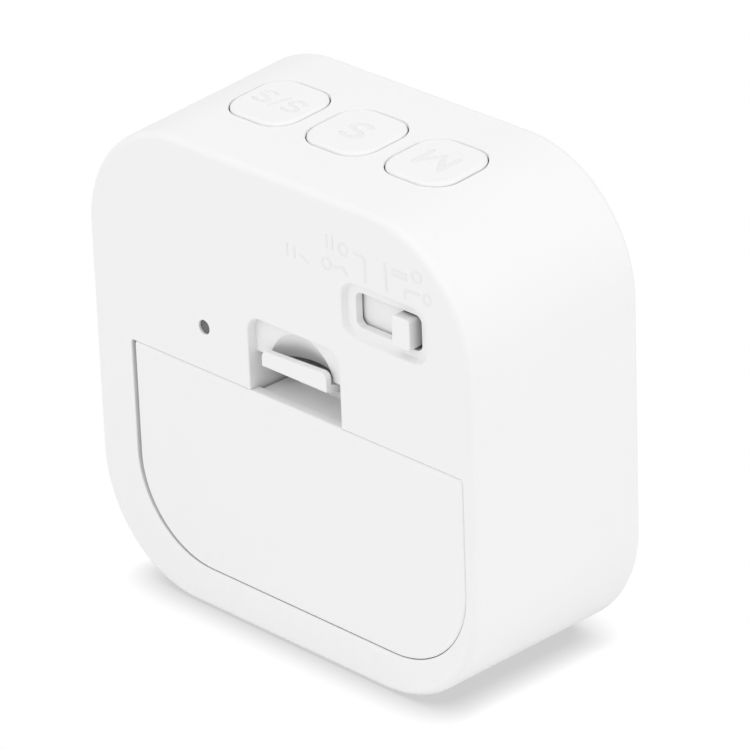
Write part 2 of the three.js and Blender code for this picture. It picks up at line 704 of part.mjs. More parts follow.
function mainBoard() {
  const half = BOARD_HALF_WIDTH;
  const sheet = prism(
    "y",
    outline([-half, half], [BOARD_LOW, BOARD_HIGH], BOARD_LOW_CORNER, BOARD_HIGH_CORNER),
    [BOARD_FRONT_Y, BOARD_BACK_Y],
  );
  const through = [BOARD_FRONT_Y - CUT_PAST, BOARD_BACK_Y + CUT_PAST];
  const holes = BOARD_SCREWS.map((at) =>
    rod("y", SCREW_SHANK + FACE_GAP, through, at, SMALL_ROUND_SIDES),
  );
  place("main_board", cut(sheet, ...holes), ...BOARD_GREEN);
  BOARD_SCREWS.forEach((at, i) =>
    place("main_board_screw_" + (i + 1), screw("y", BOARD_BACK_Y, -1, at), ...STEEL),
  );

  // The controller is a drop of black resin over a bare chip
  const drop = [[0, 0], [CHIP_RADIUS, 0]];
  for (let k = 1; k < SMALL_CORNER_STEPS; k++) {
    const angle = ((k / SMALL_CORNER_STEPS) * Math.PI) / 2;
    drop.push([CHIP_RADIUS * Math.cos(angle), CHIP_HEIGHT * Math.sin(angle)]);
  }
  drop.push([0, CHIP_HEIGHT]);
  const dome = new THREE.LatheGeometry(drop.map(([r, h]) => new THREE.Vector2(r, h)), ROUND_SIDES);
  place(
    "controller_chip",
    toSolid(dome.translate(0, BOARD_BACK_Y, BOARD_HIGH - CHIP_DROP)),
    ...BLACK_PLASTIC,
  );
  place(
    "clock_crystal",
    rod(
      "x",
      CRYSTAL_RADIUS,
      span(CRYSTAL_X, CRYSTAL_LENGTH),
      [BOARD_BACK_Y + TOUCH_GAP + CRYSTAL_RADIUS, BOARD_HIGH - CRYSTAL_DROP],
    ),
    ...STEEL,
  );
}

function keySet() {
  for (const { name, x } of KEYS) {
    const flangeTop = -WALL - FLANGE_GAP;
    const deep = KEY_SIZE + 2 * FLANGE_REACH;
    const flange = loft(
      [flangeTop - FLANGE_THICKNESS, flangeTop].map((height) =>
        keyRing(x, KEY_SIZE, deep, KEY_CORNER, height),
      ),
    ).intersect(caseSlice(WALL + FACE_GAP, [BEZEL_Y, WALL_Y]));
    const crown = edgeSteps(KEY_EDGE).reverse();
    const cap = loft([
      keyRing(x, KEY_SIZE, KEY_SIZE, KEY_CORNER, flangeTop - FLANGE_THICKNESS / 2),
      ...crown.map(([drop, inset]) => {
        const size = KEY_SIZE - 2 * inset;
        return keyRing(x, size, size, KEY_CORNER - inset, KEY_PROUD - drop);
      }),
    ]);
    const stem = rod("z", STEM_RADIUS, [STEM_END, KEY_TOP - WALL], [x, KEY_ROW_Y]);
    place(name + "_key", join(flange, cap, stem), ...WHITE_PLASTIC);

    const plungerEnd = TACT_TOP - PLUNGER_SUNK;
    const well = rod(
      "z",
      PLUNGER_RADIUS + FACE_GAP,
      [plungerEnd - KEY_TRAVEL - PLUNGER_SPARE, TACT_TOP + CUT_PAST],
      [x, KEY_ROW_Y],
    );
    const can = box(span(x, TACT_SIZE), span(KEY_ROW_Y, TACT_SIZE), [KEY_BOARD_TOP, TACT_TOP]);
    place(name + "_switch", cut(can, well), ...BLACK_PLASTIC);
    place(
      name + "_plunger",
      rod("z", PLUNGER_RADIUS, [plungerEnd, STEM_END], [x, KEY_ROW_Y]),
      ...BLACK_PLASTIC,
    );
  }

  const end = KEY_POST_OFFSET + KEY_BOARD_END;
  const sheet = box(
    span(KEY_ROW_X, 2 * end),
    [KEY_ROW_Y - KEY_BOARD_FRONT_REACH, KEY_ROW_Y + KEY_BOARD_BACK_REACH],
    KEY_BOARD_Z,
  );
  const through = [KEY_BOARD_Z[0] - CUT_PAST, KEY_BOARD_Z[1] + CUT_PAST];
  const holes = KEY_POSTS.map((at) =>
    rod("z", SCREW_SHANK + FACE_GAP, through, at, SMALL_ROUND_SIDES),
  );
  place("key_board", cut(sheet, ...holes), ...BOARD_GREEN);
  ["left", "right"].forEach((side, i) =>
    place("key_board_screw_" + side, screw("z", KEY_BOARD_Z[0], 1, KEY_POSTS[i]), ...STEEL),
  );
  place(
    "key_board_ribbon",
    box(
      span(KEY_RIBBON_X, RIBBON_WIDTH),
      span((BOARD_FRONT_Y + BOARD_BACK_Y) / 2, RIBBON_THICKNESS),
      [BOARD_HIGH, KEY_BOARD_Z[0]],
    ),
    0xd8d2c4,
    0.6,
  );
}

function slideSwitch() {
  const shutter = box(
    [KNOB_X - SHUTTER_SHORT_REACH, KNOB_X + SHUTTER_LONG_REACH],
    SHUTTER_Y,
    span(SLOT_Z, SHUTTER_HEIGHT),
  );
  const knobRing = (y, inset) =>
    outline(
      span(KNOB_X, KNOB_WIDTH - 2 * inset),
      span(SLOT_Z, KNOB_HEIGHT - 2 * inset),
      KNOB_CORNER - inset,
      KNOB_CORNER - inset,
      EDGE_STEPS,
    ).map(([x, z]) => new THREE.Vector3(x, y, z));
  const knob = loft([
    ...edgeSteps(KNOB_EDGE).map(([drop, inset]) => knobRing(BACK_Y + KNOB_PROUD - drop, inset)),
    knobRing(SHUTTER_Y[0], 0),
  ]);
  place("mode_slider", join(shutter, knob), ...WHITE_PLASTIC);

  const leverEnd = SWITCH_FRONT_Y - SWITCH_SLOT_DEPTH + FACE_GAP;
  const leverRoom = LEVER_SIZE + 2 * FACE_GAP;
  const can = box(
    span(SLOT_X, 2 * DETENT_PITCH + LEVER_SIZE + 2 * SWITCH_END),
    [SWITCH_BOARD_Y, SWITCH_FRONT_Y],
    span(SLOT_Z, SWITCH_HEIGHT),
  );
  const track = box(
    span(SLOT_X, 2 * DETENT_PITCH + leverRoom),
    [SWITCH_FRONT_Y - SWITCH_SLOT_DEPTH, SWITCH_FRONT_Y + CUT_PAST],
    span(SLOT_Z, leverRoom),
  );
  place("slide_switch_body", cut(can, track), ...STEEL);
  place(
    "slide_switch_lever",
    box(span(KNOB_X, LEVER_SIZE), [leverEnd, SHUTTER_Y[0]], span(SLOT_Z, LEVER_SIZE)),
    ...BLACK_PLASTIC,
  );

  const boardFront = SWITCH_BOARD_Y - BOARD_THICKNESS;
  const reach = SWITCH_POST_OFFSET + SWITCH_BOARD_SIDE;
  const sheet = box(
    span(SLOT_X, 2 * reach),
    [boardFront, SWITCH_BOARD_Y],
    [SLOT_Z - SWITCH_BOARD_LOW, SLOT_Z + SWITCH_BOARD_HIGH],
  );
  const through = [boardFront - CUT_PAST, SWITCH_BOARD_Y + CUT_PAST];
  const holes = SWITCH_POSTS.map((at) =>
    rod("y", SCREW_SHANK + FACE_GAP, through, at, SMALL_ROUND_SIDES),
  );
  place("switch_board", cut(sheet, ...holes), ...BOARD_GREEN);
  ["left", "right"].forEach((side, i) =>
    place("switch_board_screw_" + side, screw("y", boardFront, 1, SWITCH_POSTS[i]), ...STEEL),
  );
  place(
    "switch_ribbon",
    box(
      span(SLOT_X, RIBBON_WIDTH),
      [BOARD_BACK_Y, boardFront],
      span(SLOT_Z - SWITCH_RIBBON_DROP, RIBBON_THICKNESS),
    ),
    0xd8d2c4,
    0.6,
  );
}

function soundSet() {
  const buzzerFront = WALL_Y - FACE_GAP;
  const buzzerBack = buzzerFront - BUZZER_HEIGHT;
  place(
    "buzzer",
    rod("y", BUZZER_RADIUS, [buzzerBack, buzzerFront], [BUZZER_X, BUZZER_Z], LARGE_ROUND_SIDES),
    ...BLACK_PLASTIC,
  );
  const wire = new THREE.Shape();
  wire.absarc(0, 0, LEAD_RADIUS, 0, 2 * Math.PI);
  [-1, 1].forEach((side, i) => {
    const [from, to] = [buzzerBack - FACE_GAP, BOARD_BACK_Y + FACE_GAP];
    const x = BUZZER_X + side * LEAD_SPREAD;
    const path = new THREE.CubicBezierCurve3(
      new THREE.Vector3(x, from, BUZZER_Z),
      new THREE.Vector3(x, from - (from - to) / 3, BUZZER_Z),
      new THREE.Vector3(x, to + (from - to) / 3, BUZZER_Z - LEAD_SAG),
      new THREE.Vector3(x, to, BUZZER_Z - LEAD_SAG),
    );
    const lead = new THREE.ExtrudeGeometry(wire, {
      steps: TURN_STEPS,
      curveSegments: WIRE_SIDES,
      extrudePath: path,
    });
    place("buzzer_lead_" + (i + 1), toSolid(lead), i ? 0x1a1a1a : 0xb02a24, 0.5);
  });
}

// A compression spring wound from wire as one unbroken tube, coned from its base to its tip
function coilSpring(baseX, tipX, z) {
  const steps = TURN_STEPS * SPRING_TURNS;
  const middle = (u) => {
    const angle = 2 * Math.PI * SPRING_TURNS * u;
    const radius = THREE.MathUtils.lerp(SPRING_BASE, SPRING_TIP, u);
    return new THREE.Vector3(
      THREE.MathUtils.lerp(baseX, tipX, u),
      CELL_Y + radius * Math.cos(angle),
      z + radius * Math.sin(angle),
    );
  };
  const rings = Array.from({ length: steps + 1 }, (_, k) => {
    const centre = middle(k / steps);
    const outward = new THREE.Vector3(0, centre.y - CELL_Y, centre.z - z).normalize();
    return Array.from({ length: WIRE_SIDES }, (_, i) => {
      const angle = (2 * Math.PI * i) / WIRE_SIDES;
      return centre
        .clone()
        .add(new THREE.Vector3(WIRE_RADIUS * Math.cos(angle), 0, 0))
        .addScaledVector(outward, WIRE_RADIUS * Math.sin(angle));
    });
  });
  // Points most of a turn apart along the wire lie on neighbouring turns
  const centres = Array.from({ length: steps + 1 }, (_, k) => middle(k / steps));
  const nextTurn = Math.ceil(0.75 * TURN_STEPS);
  let least = Infinity;
  centres.forEach((p, i) =>
    centres.slice(i + nextTurn).forEach((q) => {
      least = Math.min(least, p.distanceTo(q) - 2 * WIRE_RADIUS);
    }),
  );
  console.log("spring turns at z " + z.toFixed(1) + ": least gap " + least.toFixed(2) + " mm");
  return loft(rings);
}

function batteries() {
  const plate = (x, z, height, tail) => {
    const sheet = box(
      [x, x + CONTACT_THICKNESS],
      [BAY_FLOOR_Y + FACE_GAP, CELL_Y + CELL_RADIUS],
      span(z, height),
    );
    if (!tail) return sheet;
    const strip = box(
      [x, x + CONTACT_THICKNESS],
      [BOARD_BACK_Y + FACE_GAP, BAY_FLOOR_Y + 2 * FACE_GAP],
      span(z, TAIL_WIDTH),
    );
    return join(sheet, strip);
  };
  place("negative_contact", plate(LOW_PLATE_X, contactZ(1), CONTACT_WIDTH, true), ...STEEL);
  place("positive_contact", plate(LOW_PLATE_X, contactZ(-1), CONTACT_WIDTH, true), ...STEEL);
  place(
    "bridge_contact",
    plate(HIGH_PLATE_X, BAY_MIDDLE_Z, CELL_PITCH + CONTACT_WIDTH, false),
    ...STEEL,
  );

  // Each cell points its nub one way along X and presses its flat end on a spring
  const rows = [
    { name: "upper", row: 1, way: 1, nubX: HIGH_PLATE_X, baseX: LOW_PLATE_X + CONTACT_THICKNESS },
    { name: "lower", row: -1, way: -1, nubX: LOW_PLATE_X + CONTACT_THICKNESS, baseX: HIGH_PLATE_X },
  ];
  for (const { name, row, way, nubX, baseX } of rows) {
    const can = CELL_LENGTH - NUB_LENGTH;
    const rim = CELL_RADIUS - CELL_RIM;
    const profile = [
      [0, 0],
      [rim, 0],
      [CELL_RADIUS, CELL_RIM],
      [CELL_RADIUS, can - CELL_RIM],
      [rim, can],
      [NUB_RADIUS, can],
      [NUB_RADIUS, CELL_LENGTH],
      [0, CELL_LENGTH],
    ];
    const points = profile.map(([r, h]) => new THREE.Vector2(r, h));
    const body = new THREE.LatheGeometry(points, LARGE_ROUND_SIDES);
    const flatX = nubX - way * (TOUCH_GAP + CELL_LENGTH);
    body.rotateZ((-way * Math.PI) / 2).translate(flatX, CELL_Y, contactZ(row));
    place("aaa_cell_" + name, toSolid(body), 0x3a3f45, 0.35, 0.4);
    const slack = way * (WIRE_RADIUS + TOUCH_GAP);
    place(
      "cell_spring_" + name,
      coilSpring(baseX + slack, flatX - slack, contactZ(row)),
      ...STEEL,
    );
  }
}

// Battery door: a plate with two tongues below and a folded strip above that carries the latch
function batteryDoor() {
  const [x0, x1] = span(DOOR_X, DOOR_WIDTH);
  const plate = prism(
    "y",
    outline(
      [x0 + DOOR_GAP, x1 - DOOR_GAP - DOOR_SIDE_PLAY],
      [DOOR_BOTTOM, DOOR_TOP],
      DOOR_CORNER - DOOR_GAP,
      DOOR_TOP_CORNER,
    ),
    [DOOR_INNER_Y, BACK_Y],
  );
  const ledge = box(
    span(LATCH_X, NOTCH_WIDTH - 2 * LEDGE_GAP),
    [LATCH_BACK_Y, DOOR_INNER_Y + TOUCH_GAP],
    [DOOR_TOP - LATCH_STRIP, DOOR_TOP],
  );
  const riser = box(
    span(LATCH_X, LIP_WIDTH),
    [LATCH_BACK_Y, LATCH_BACK_Y + LATCH_STRIP],
    [DOOR_TOP - LATCH_STRIP, LATCH_PIVOT[1] - LATCH_STRIP / 2 - FACE_GAP],
  );
  const tongues = TONGUE_X.map((x) => {
    const across = span(x, TONGUE_WIDTH);
    const neckTop = DOOR_BOTTOM + TONGUE_NECK;
    const blade = box(across, TONGUE_Y, [DOOR_LOW - TONGUE_DROP, neckTop]);
    const neck = box(across, [TONGUE_Y[0], DOOR_INNER_Y + TOUCH_GAP], [DOOR_BOTTOM, neckTop]);
    return join(blade, neck);
  });
  place("battery_door", join(plate, ledge, riser, ...tongues), ...WHITE_PLASTIC);

  // The latch bends at the fold behind it: its lip is pressed down to free the door
  const [pivotY, pivotZ] = LATCH_PIVOT;
  const across = span(LATCH_X, LIP_WIDTH);
  const root = rod("x", LATCH_STRIP / 2, across, [pivotY, pivotZ], SMALL_ROUND_SIDES);
  const footY = BACK_Y - LIP_THICKNESS / 2;
  const footZ = LIP_LOW + LIP_FOOT;
  const rise = Math.atan2(footZ - pivotZ, footY - pivotY);
  const halfY = (-Math.sin(rise) * LATCH_STRIP) / 2;
  const halfZ = (Math.cos(rise) * LATCH_STRIP) / 2;
  const arm = prism(
    "x",
    [
      [footY - halfY, footZ - halfZ],
      [pivotY - halfY, pivotZ - halfZ],
      [pivotY + halfY, pivotZ + halfZ],
      [footY + halfY, footZ + halfZ],
    ],
    across,
  );
  const lip = prism(
    "y",
    outline(across, [LIP_LOW, LIP_TOP], 0, LIP_CORNER, SMALL_CORNER_STEPS),
    [BACK_Y - LIP_THICKNESS, BACK_Y],
  );
  place("door_latch", join(root, arm, lip), ...WHITE_PLASTIC);
}

place("main_housing", housing(), ...WHITE_PLASTIC);
place("front_bezel", bezel(), ...WHITE_PLASTIC);
displayStack();
mainBoard();
keySet();
slideSwitch();
soundSet();
batteries();
batteryDoor();

export default group;
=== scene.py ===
import math

import bmesh
import bpy
from mathutils import Matrix, Vector


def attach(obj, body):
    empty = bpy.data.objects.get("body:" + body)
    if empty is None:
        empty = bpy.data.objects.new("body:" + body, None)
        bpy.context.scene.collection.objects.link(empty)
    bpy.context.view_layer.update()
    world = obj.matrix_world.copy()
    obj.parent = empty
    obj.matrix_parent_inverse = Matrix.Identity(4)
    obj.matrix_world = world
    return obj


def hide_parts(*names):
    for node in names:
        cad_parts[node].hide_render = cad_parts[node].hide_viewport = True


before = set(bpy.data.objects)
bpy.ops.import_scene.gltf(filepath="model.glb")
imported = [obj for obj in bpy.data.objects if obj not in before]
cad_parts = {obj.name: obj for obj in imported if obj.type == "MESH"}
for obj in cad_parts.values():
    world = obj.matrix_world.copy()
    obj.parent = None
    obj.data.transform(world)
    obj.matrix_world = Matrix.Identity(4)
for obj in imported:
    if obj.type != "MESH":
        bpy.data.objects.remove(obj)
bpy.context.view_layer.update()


# Main housing: back, sides, top and base of the case in one thin moulding of white ABS, open in front.
# It comes off a spark-eroded steel tool, so the skin is satin and every edge and mouth is a little soft.
MM = 0.001
CASE_BACK, CASE_FRONT = 15.3, -15.3
BACK_HALF, BACK_HEIGHT, BACK_RADIUS = 36.45, 70, 18
SIDE_WALL, BACK_WALL = 1.15, 1.1
CORNER_STEPS, ROLL_STEPS, RIM_STEPS = 28, 5, 8

# Places for shapes drawn flat in millimetres: x across, y up the face and z out of it
ON_CASE = Matrix.Identity(4)
ON_BACK = Matrix(((1, 0, 0, 0), (0, 0, 1, CASE_BACK), (0, 1, 0, 0), (0, 0, 0, 1)))


def panel(bm, x, y, z, low, high, steps=CORNER_STEPS):
    """A flat face at height z, with its two low and two high corners rounded."""
    others = set(bm.faces)
    spots = ((x[0], y[0]), (x[1], y[0]), (x[1], y[1]), (x[0], y[1]))
    corners = [bm.verts.new((*spot, z)) for spot in spots]
    bm.faces.new(corners)
    for pair, radius in ((corners[:2], low), (corners[2:], high)):
        if radius:
            bmesh.ops.bevel(
                bm, geom=pair, offset=radius, offset_type="OFFSET", segments=steps,
                profile=0.5, affect="VERTICES", material=-1, clamp_overlap=False,
            )
    return next(face for face in bm.faces if face not in others)


def soften(bm, edges, radius, steps=ROLL_STEPS):
    """Rolls edges over."""
    bmesh.ops.bevel(
        bm, geom=edges, offset=radius, offset_type="OFFSET", segments=steps,
        profile=0.5, affect="EDGES", material=-1, clamp_overlap=False,
    )


def case_form(inset, front, back, front_edge=0, back_edge=0):
    """The case's rounded outline, set in from its skin, which grows by 1 mm towards the front."""
    bm = bmesh.new()
    rings = []
    for depth in (back, front):
        grow = (CASE_BACK - depth) / (CASE_BACK - CASE_FRONT)
        half, radius = BACK_HALF + grow - inset, BACK_RADIUS + grow - inset
        top = BACK_HEIGHT + 2 * grow - inset
        face = panel(bm, (-half, half), (inset, top), depth - CASE_BACK, radius, radius)
        rings.append(list(face.edges))
    bmesh.ops.bridge_loops(bm, edges=rings[0] + rings[1])
    bmesh.ops.recalc_face_normals(bm, faces=bm.faces)
    for ring, edge in zip(rings, (back_edge, front_edge)):
        if edge:
            soften(bm, ring, edge, RIM_STEPS)
    return bm


def form(name, bm, place=ON_CASE):
    """Turns a closed shape in millimetres into an object in the case's frame."""
    bmesh.ops.transform(bm, matrix=Matrix.Scale(MM, 4) @ place, verts=bm.verts)
    bmesh.ops.recalc_face_normals(bm, faces=bm.faces)
    mesh = bpy.data.meshes.new(name)
    bm.to_mesh(mesh)
    bm.free()
    made = bpy.data.objects.new(name, mesh)
    bpy.context.scene.collection.objects.link(made)
    return made


housing = form(
    "housing_moulding", case_form(0, CASE_FRONT, CASE_BACK, front_edge=1.1, back_edge=1), ON_BACK,
)


def carve(piece, tool, how="DIFFERENCE"):
    """Cuts a shape out of a piece, or joins it on, and takes the shape away."""
    cut = piece.modifiers.new("carve", "BOOLEAN")
    cut.operation, cut.object, cut.solver = how, tool, "MANIFOLD"
    whole = bpy.data.meshes.new_from_object(
        piece.evaluated_get(bpy.context.evaluated_depsgraph_get())
    )
    piece.modifiers.remove(cut)
    old, piece.data = piece.data, whole
    bpy.data.meshes.remove(old)
    bpy.data.objects.remove(tool)


def cut_off(bm, end, way):
    """Takes away what lies past a plane, and closes the cut."""
    cut = bmesh.ops.bisect_plane(
        bm, geom=[*bm.verts, *bm.edges, *bm.faces], plane_co=end, plane_no=way, clear_outer=True,
    )
    ring = [part for part in cut["geom_cut"] if isinstance(part, bmesh.types.BMEdge)]
    bmesh.ops.holes_fill(bm, edges=ring, sides=0)


def cad_solid(node, end=None, way=None):
    """A merged copy of a CAD node in millimetres, without what lies past a plane at end along way."""
    bm = bmesh.new()
    bm.from_mesh(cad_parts[node].data)
    bmesh.ops.scale(bm, vec=(1 / MM,) * 3, verts=bm.verts)
    bmesh.ops.remove_doubles(bm, verts=bm.verts, dist=0.002)
    if end:
        cut_off(bm, end, way)
    return bm


# The hollow: all that lies inside the walls, less the CAD model's ribs, bosses and battery tub
inside = form("inside", case_form(SIDE_WALL, CASE_FRONT - 1, CASE_BACK - BACK_WALL), ON_BACK)
carve(inside, form("moulding", cad_solid("main_housing")))


def push(bm, face, way):
    """Pulls a face out along z and leaves a closed wall behind it."""
    made = bmesh.ops.extrude_face_region(bm, geom=[face])["geom"]
    verts = [part for part in made if isinstance(part, bmesh.types.BMVert)]
    bmesh.ops.translate(bm, verts=verts, vec=(0, 0, way))
    return next(part for part in made if isinstance(part, bmesh.types.BMFace))


def slab(x, y, z, low=0, high=None, edge=0, steps=CORNER_STEPS):
    """A flat slab from z[0] to z[1], with the edges of its z[1] face softened."""
    bm = bmesh.new()
    face = panel(bm, x, y, z[0], low, low if high is None else high, steps)
    face = push(bm, face, z[1] - z[0])
    if edge:
        soften(bm, list(face.edges), edge)
    return bm


# The latch's place: the CAD model's scoop is filled first, because the real one is a smooth dish
LATCH_X = -3.345
NOTCH_X = (LATCH_X - 8.735, LATCH_X + 8.735)
NOTCH_TOP, NOTCH_DEPTH = 48.05, 1.6
POCKET_Z, POCKET_DEPTH = (35.13, 42.32), 9.32
SCOOP_RADIUS, SCOOP_TOP, SCOOP_DEPTH = 6.12, 47.17, 2.7
carve(inside, form("scoop_fill", slab(
    x=(LATCH_X - 6.6, LATCH_X + 6.6), y=(POCKET_Z[1] - 0.05, SCOOP_TOP + 0.3),
    z=(-4.6, -NOTCH_DEPTH + 0.1),
), ON_BACK))
carve(housing, inside)


def well(x, y, depth, low, high, roll, lean=0, steps=CORNER_STEPS):
    """A cutter for an opening at height 0: its mouth rolls out, and its walls go down, leaning in."""
    fall = math.atan2(depth, lean)
    grow = roll * math.tan(fall / 2)
    bm = bmesh.new()
    face = panel(
        bm, (x[0] - grow, x[1] + grow), (y[0] - grow, y[1] + grow), 0,
        low + grow if low else 0, high + grow if high else 0, steps,
    )
    push(bm, face, 1)
    face = next(f for f in bm.faces if abs(f.calc_center_median().z) < 1e-6)
    inward, down = 0, 0
    for k in range(1, ROLL_STEPS + 1):
        turn = fall * k / ROLL_STEPS
        step_in, step_down = roll * math.sin(turn), roll * (1 - math.cos(turn))
        bmesh.ops.inset_region(
            bm, faces=[face], thickness=step_in - inward, depth=step_down - down,
            use_even_offset=True, use_boundary=True,
        )
        inward, down = step_in, step_down
    rest = depth - down
    if lean:
        bmesh.ops.inset_region(
            bm, faces=[face], thickness=rest / math.tan(fall), depth=rest,
            use_even_offset=True, use_boundary=True,
        )
    else:
        floor = bmesh.ops.extrude_discrete_faces(bm, faces=[face])["faces"][0]
        bmesh.ops.translate(bm, verts=floor.verts, vec=(0, 0, -rest))
    return bm


# Openings of the back: the battery door's seat, the latch notch, the switch and the sound hole
carve(housing, form("seat", well(
    x=(-34.5, 29.05), y=(6.2, 36.95), depth=1.7, low=13.85, high=0.5, roll=0.18,
), ON_BACK))
notch = form("notch", well(
    x=NOTCH_X, y=(30, NOTCH_TOP), depth=NOTCH_DEPTH, low=0, high=2.4, roll=0.25,
), ON_BACK)
pocket = form("pocket", slab(NOTCH_X, POCKET_Z, (-POCKET_DEPTH, -NOTCH_DEPTH + 0.3)), ON_BACK)
carve(notch, pocket, "UNION")
scoop = bmesh.new()
bmesh.ops.create_cone(
    scoop, cap_ends=True, segments=160, radius1=SCOOP_RADIUS, radius2=SCOOP_RADIUS, depth=3,
    matrix=Matrix.Translation((LATCH_X, SCOOP_TOP - SCOOP_RADIUS, -NOTCH_DEPTH - 1.4)),
)
slope = (SCOOP_TOP - POCKET_Z[1]) / SCOOP_DEPTH
leaning = Matrix(((1, 0, 0, 0), (0, 1, slope, slope * NOTCH_DEPTH), (0, 0, 1, 0), (0, 0, 0, 1)))
bmesh.ops.transform(scoop, matrix=leaning, verts=scoop.verts)
cut_off(scoop, end=(0, POCKET_Z[1] - 1, 0), way=(0, -1, 0))
carve(notch, form("scoop", scoop, ON_BACK), "UNION")
carve(housing, notch)

RECESS_DEPTH = 1
carve(housing, form("recess", well(
    x=(-28.64, -12.94), y=(51.03, 59.08), depth=RECESS_DEPTH, low=2.4, high=2.4, roll=0.3, lean=0.35,
), ON_BACK))
carve(housing, form("slot", well(
    x=(-26.84, -14.74), y=(52.53, 57.58), depth=1.5, low=1, high=1, roll=0.1,
), ON_BACK @ Matrix.Translation((0, 0, -RECESS_DEPTH))))

SOUND_SKIN, SOUND_DEPTH = 0.4, 2.6
carve(housing, form("sound_hole", well(
    x=(12.95, 15.05), y=(42.45, 44.55), depth=SOUND_DEPTH, low=1.04, high=1.04, roll=0.1, steps=10,
), ON_BACK))
carve(housing, form("sound_room", slab(
    x=(11, 17), y=(40.5, 46.5), z=(-SOUND_DEPTH, -SOUND_SKIN), low=2.98,
), ON_BACK))

# Key holes, in the top that rises a little towards the front, with an eased edge on one side
TOP_FALL, TOP_MIDDLE = -2 / (CASE_BACK - CASE_FRONT), BACK_HEIGHT + 1
ON_TOP = Matrix(((1, 0, 0, 0), (0, 1, 0, 0), (0, TOP_FALL, 1, TOP_MIDDLE), (0, 0, 0, 1)))
KEY_X = {"minute": -15.5, "second": -0.7, "start_stop": 14.1}
KEY_Y, KEY_HALF = -0.45, 5.875
KEY_GAP, KEY_PLAY = 0.12, 0.1
EASE_IN, EASE_OUT = 0.3, 0.35
KEY_STEPS = 12
for middle in KEY_X.values():
    reach = KEY_HALF + KEY_GAP
    carve(housing, form("key_hole", well(
        x=(middle - reach, middle + reach + KEY_PLAY), y=(KEY_Y - reach - KEY_PLAY, KEY_Y + reach),
        depth=2.6, low=4, high=4, roll=0.1, steps=KEY_STEPS,
    ), ON_TOP))
    carve(housing, form("eased_edge", well(
        x=(middle - reach + EASE_IN, middle + reach + EASE_OUT),
        y=(KEY_Y - reach - EASE_OUT, KEY_Y + reach - EASE_IN),
        depth=0.3, low=4, high=4, roll=0.25, steps=KEY_STEPS,
    ), ON_TOP))


def linear(colour):
    """An sRGB hex colour as linear RGBA."""
    parts = [int(colour[i:i + 2], 16) / 255 for i in (1, 3, 5)]
    return (*[c / 12.92 if c <= 0.04045 else ((c + 0.055) / 1.055) ** 2.4 for c in parts], 1)


def add(tree, kind, inputs=None, **settings):
    """Adds a node with its settings, and links or sets its inputs."""
    node = tree.nodes.new("ShaderNode" + kind)
    for name, value in settings.items():
        setattr(node, name, value)
    for socket, value in (inputs or {}).items():
        if isinstance(value, bpy.types.NodeSocket):
            tree.links.new(value, node.inputs[socket])
        else:
            node.inputs[socket].default_value = value
    return node


def new_material(name):
    """An empty material."""
    material = bpy.data.materials.new(name)
    material.use_nodes = True
    material.node_tree.nodes.clear()
    return material


# Satin white ABS: an opaque white that scatters light, with a faint moulded grain. Its colour has
# painted shade: greyer in pockets and near black in tight gaps, where little open air is near.
# The grain is 0.35 mm across, coarser than the real one, so that it shows at all.
GAP_REACH, GAP_CLOSED = 1.2, (0.02, 0.26)
POCKET_REACH = 6
SHADE_SAMPLES = 12


def white_abs(name, light, dark, grain=0.35, pocket="#DEDEDE", closed=(0.1, 0.5)):
    material = new_material(name)
    tree = material.node_tree
    spot = add(tree, "TexCoord").outputs["Object"]
    cloud = add(tree, "TexNoise", {"Vector": spot, "Scale": 1 / (14 * MM), "Detail": 2.0})
    tone = add(tree, "MixRGB", {
        "Fac": cloud.outputs["Fac"], "Color1": linear(dark), "Color2": linear(light),
    })
    # Painted shade: the colour turns to the pocket grey where the surface is closed in within a few
    # millimetres.
    room = add(tree, "AmbientOcclusion", {"Distance": POCKET_REACH * MM}, samples=SHADE_SAMPLES)
    depth = add(tree, "MapRange", {
        "Value": room.outputs["AO"], "From Min": closed[0], "From Max": closed[1],
    })
    pocket_shaded = add(tree, "MixRGB", {
        "Fac": depth.outputs["Result"], "Color1": linear(pocket), "Color2": tone.outputs["Color"],
    })
    # Painted shade: tight gaps are painted near black.
    open_air = add(tree, "AmbientOcclusion", {"Distance": GAP_REACH * MM}, samples=SHADE_SAMPLES)
    gap_shade = add(tree, "MapRange", {
        "Value": open_air.outputs["AO"], "From Min": GAP_CLOSED[0], "From Max": GAP_CLOSED[1],
    })
    colour = add(tree, "MixRGB", {
        "Fac": gap_shade.outputs["Result"], "Color1": linear("#3C3C3C"), "Color2": pocket_shaded.outputs["Color"],
    })
    pores = add(tree, "TexNoise", {"Vector": spot, "Scale": 1 / (grain * MM), "Detail": 3.0})
    rough = add(tree, "MapRange", {"Value": pores.outputs["Fac"], "To Min": 0.55, "To Max": 0.66})
    bump = add(tree, "Bump", {
        "Height": pores.outputs["Fac"], "Strength": 0.12, "Distance": 0.01 * MM,
    })
    skin = add(tree, "BsdfPrincipled", {
        "Base Color": colour.outputs["Color"], "Roughness": rough.outputs["Result"],
        "Normal": bump.outputs["Normal"], "IOR": 1.53,
    })
    add(tree, "OutputMaterial", {"Surface": skin.outputs["BSDF"]})
    return material


def finish(piece, *materials, angle=24):
    """Clean faces, smooth shading that keeps flats flat and real corners sharp, and the materials."""
    mesh = piece.data
    bm = bmesh.new()
    bm.from_mesh(mesh)
    bmesh.ops.dissolve_limit(
        bm, angle_limit=math.radians(0.4), verts=bm.verts, edges=bm.edges, delimit={"MATERIAL"},
    )
    for face in bm.faces:
        face.smooth = True
    for edge in bm.edges:
        edge.smooth = edge.calc_face_angle(math.pi) < math.radians(angle)
    mesh.materials.clear()
    bm.to_mesh(mesh)
    bm.free()
    for material in materials:
        mesh.materials.append(material)
    even = piece.modifiers.new("even_normals", "WEIGHTED_NORMAL")
    even.keep_sharp = True


case_abs = white_abs("white_abs_case", "#F5F5F5", "#F3F3F3")
finish(housing, case_abs)
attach(housing, "case")
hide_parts("main_housing")


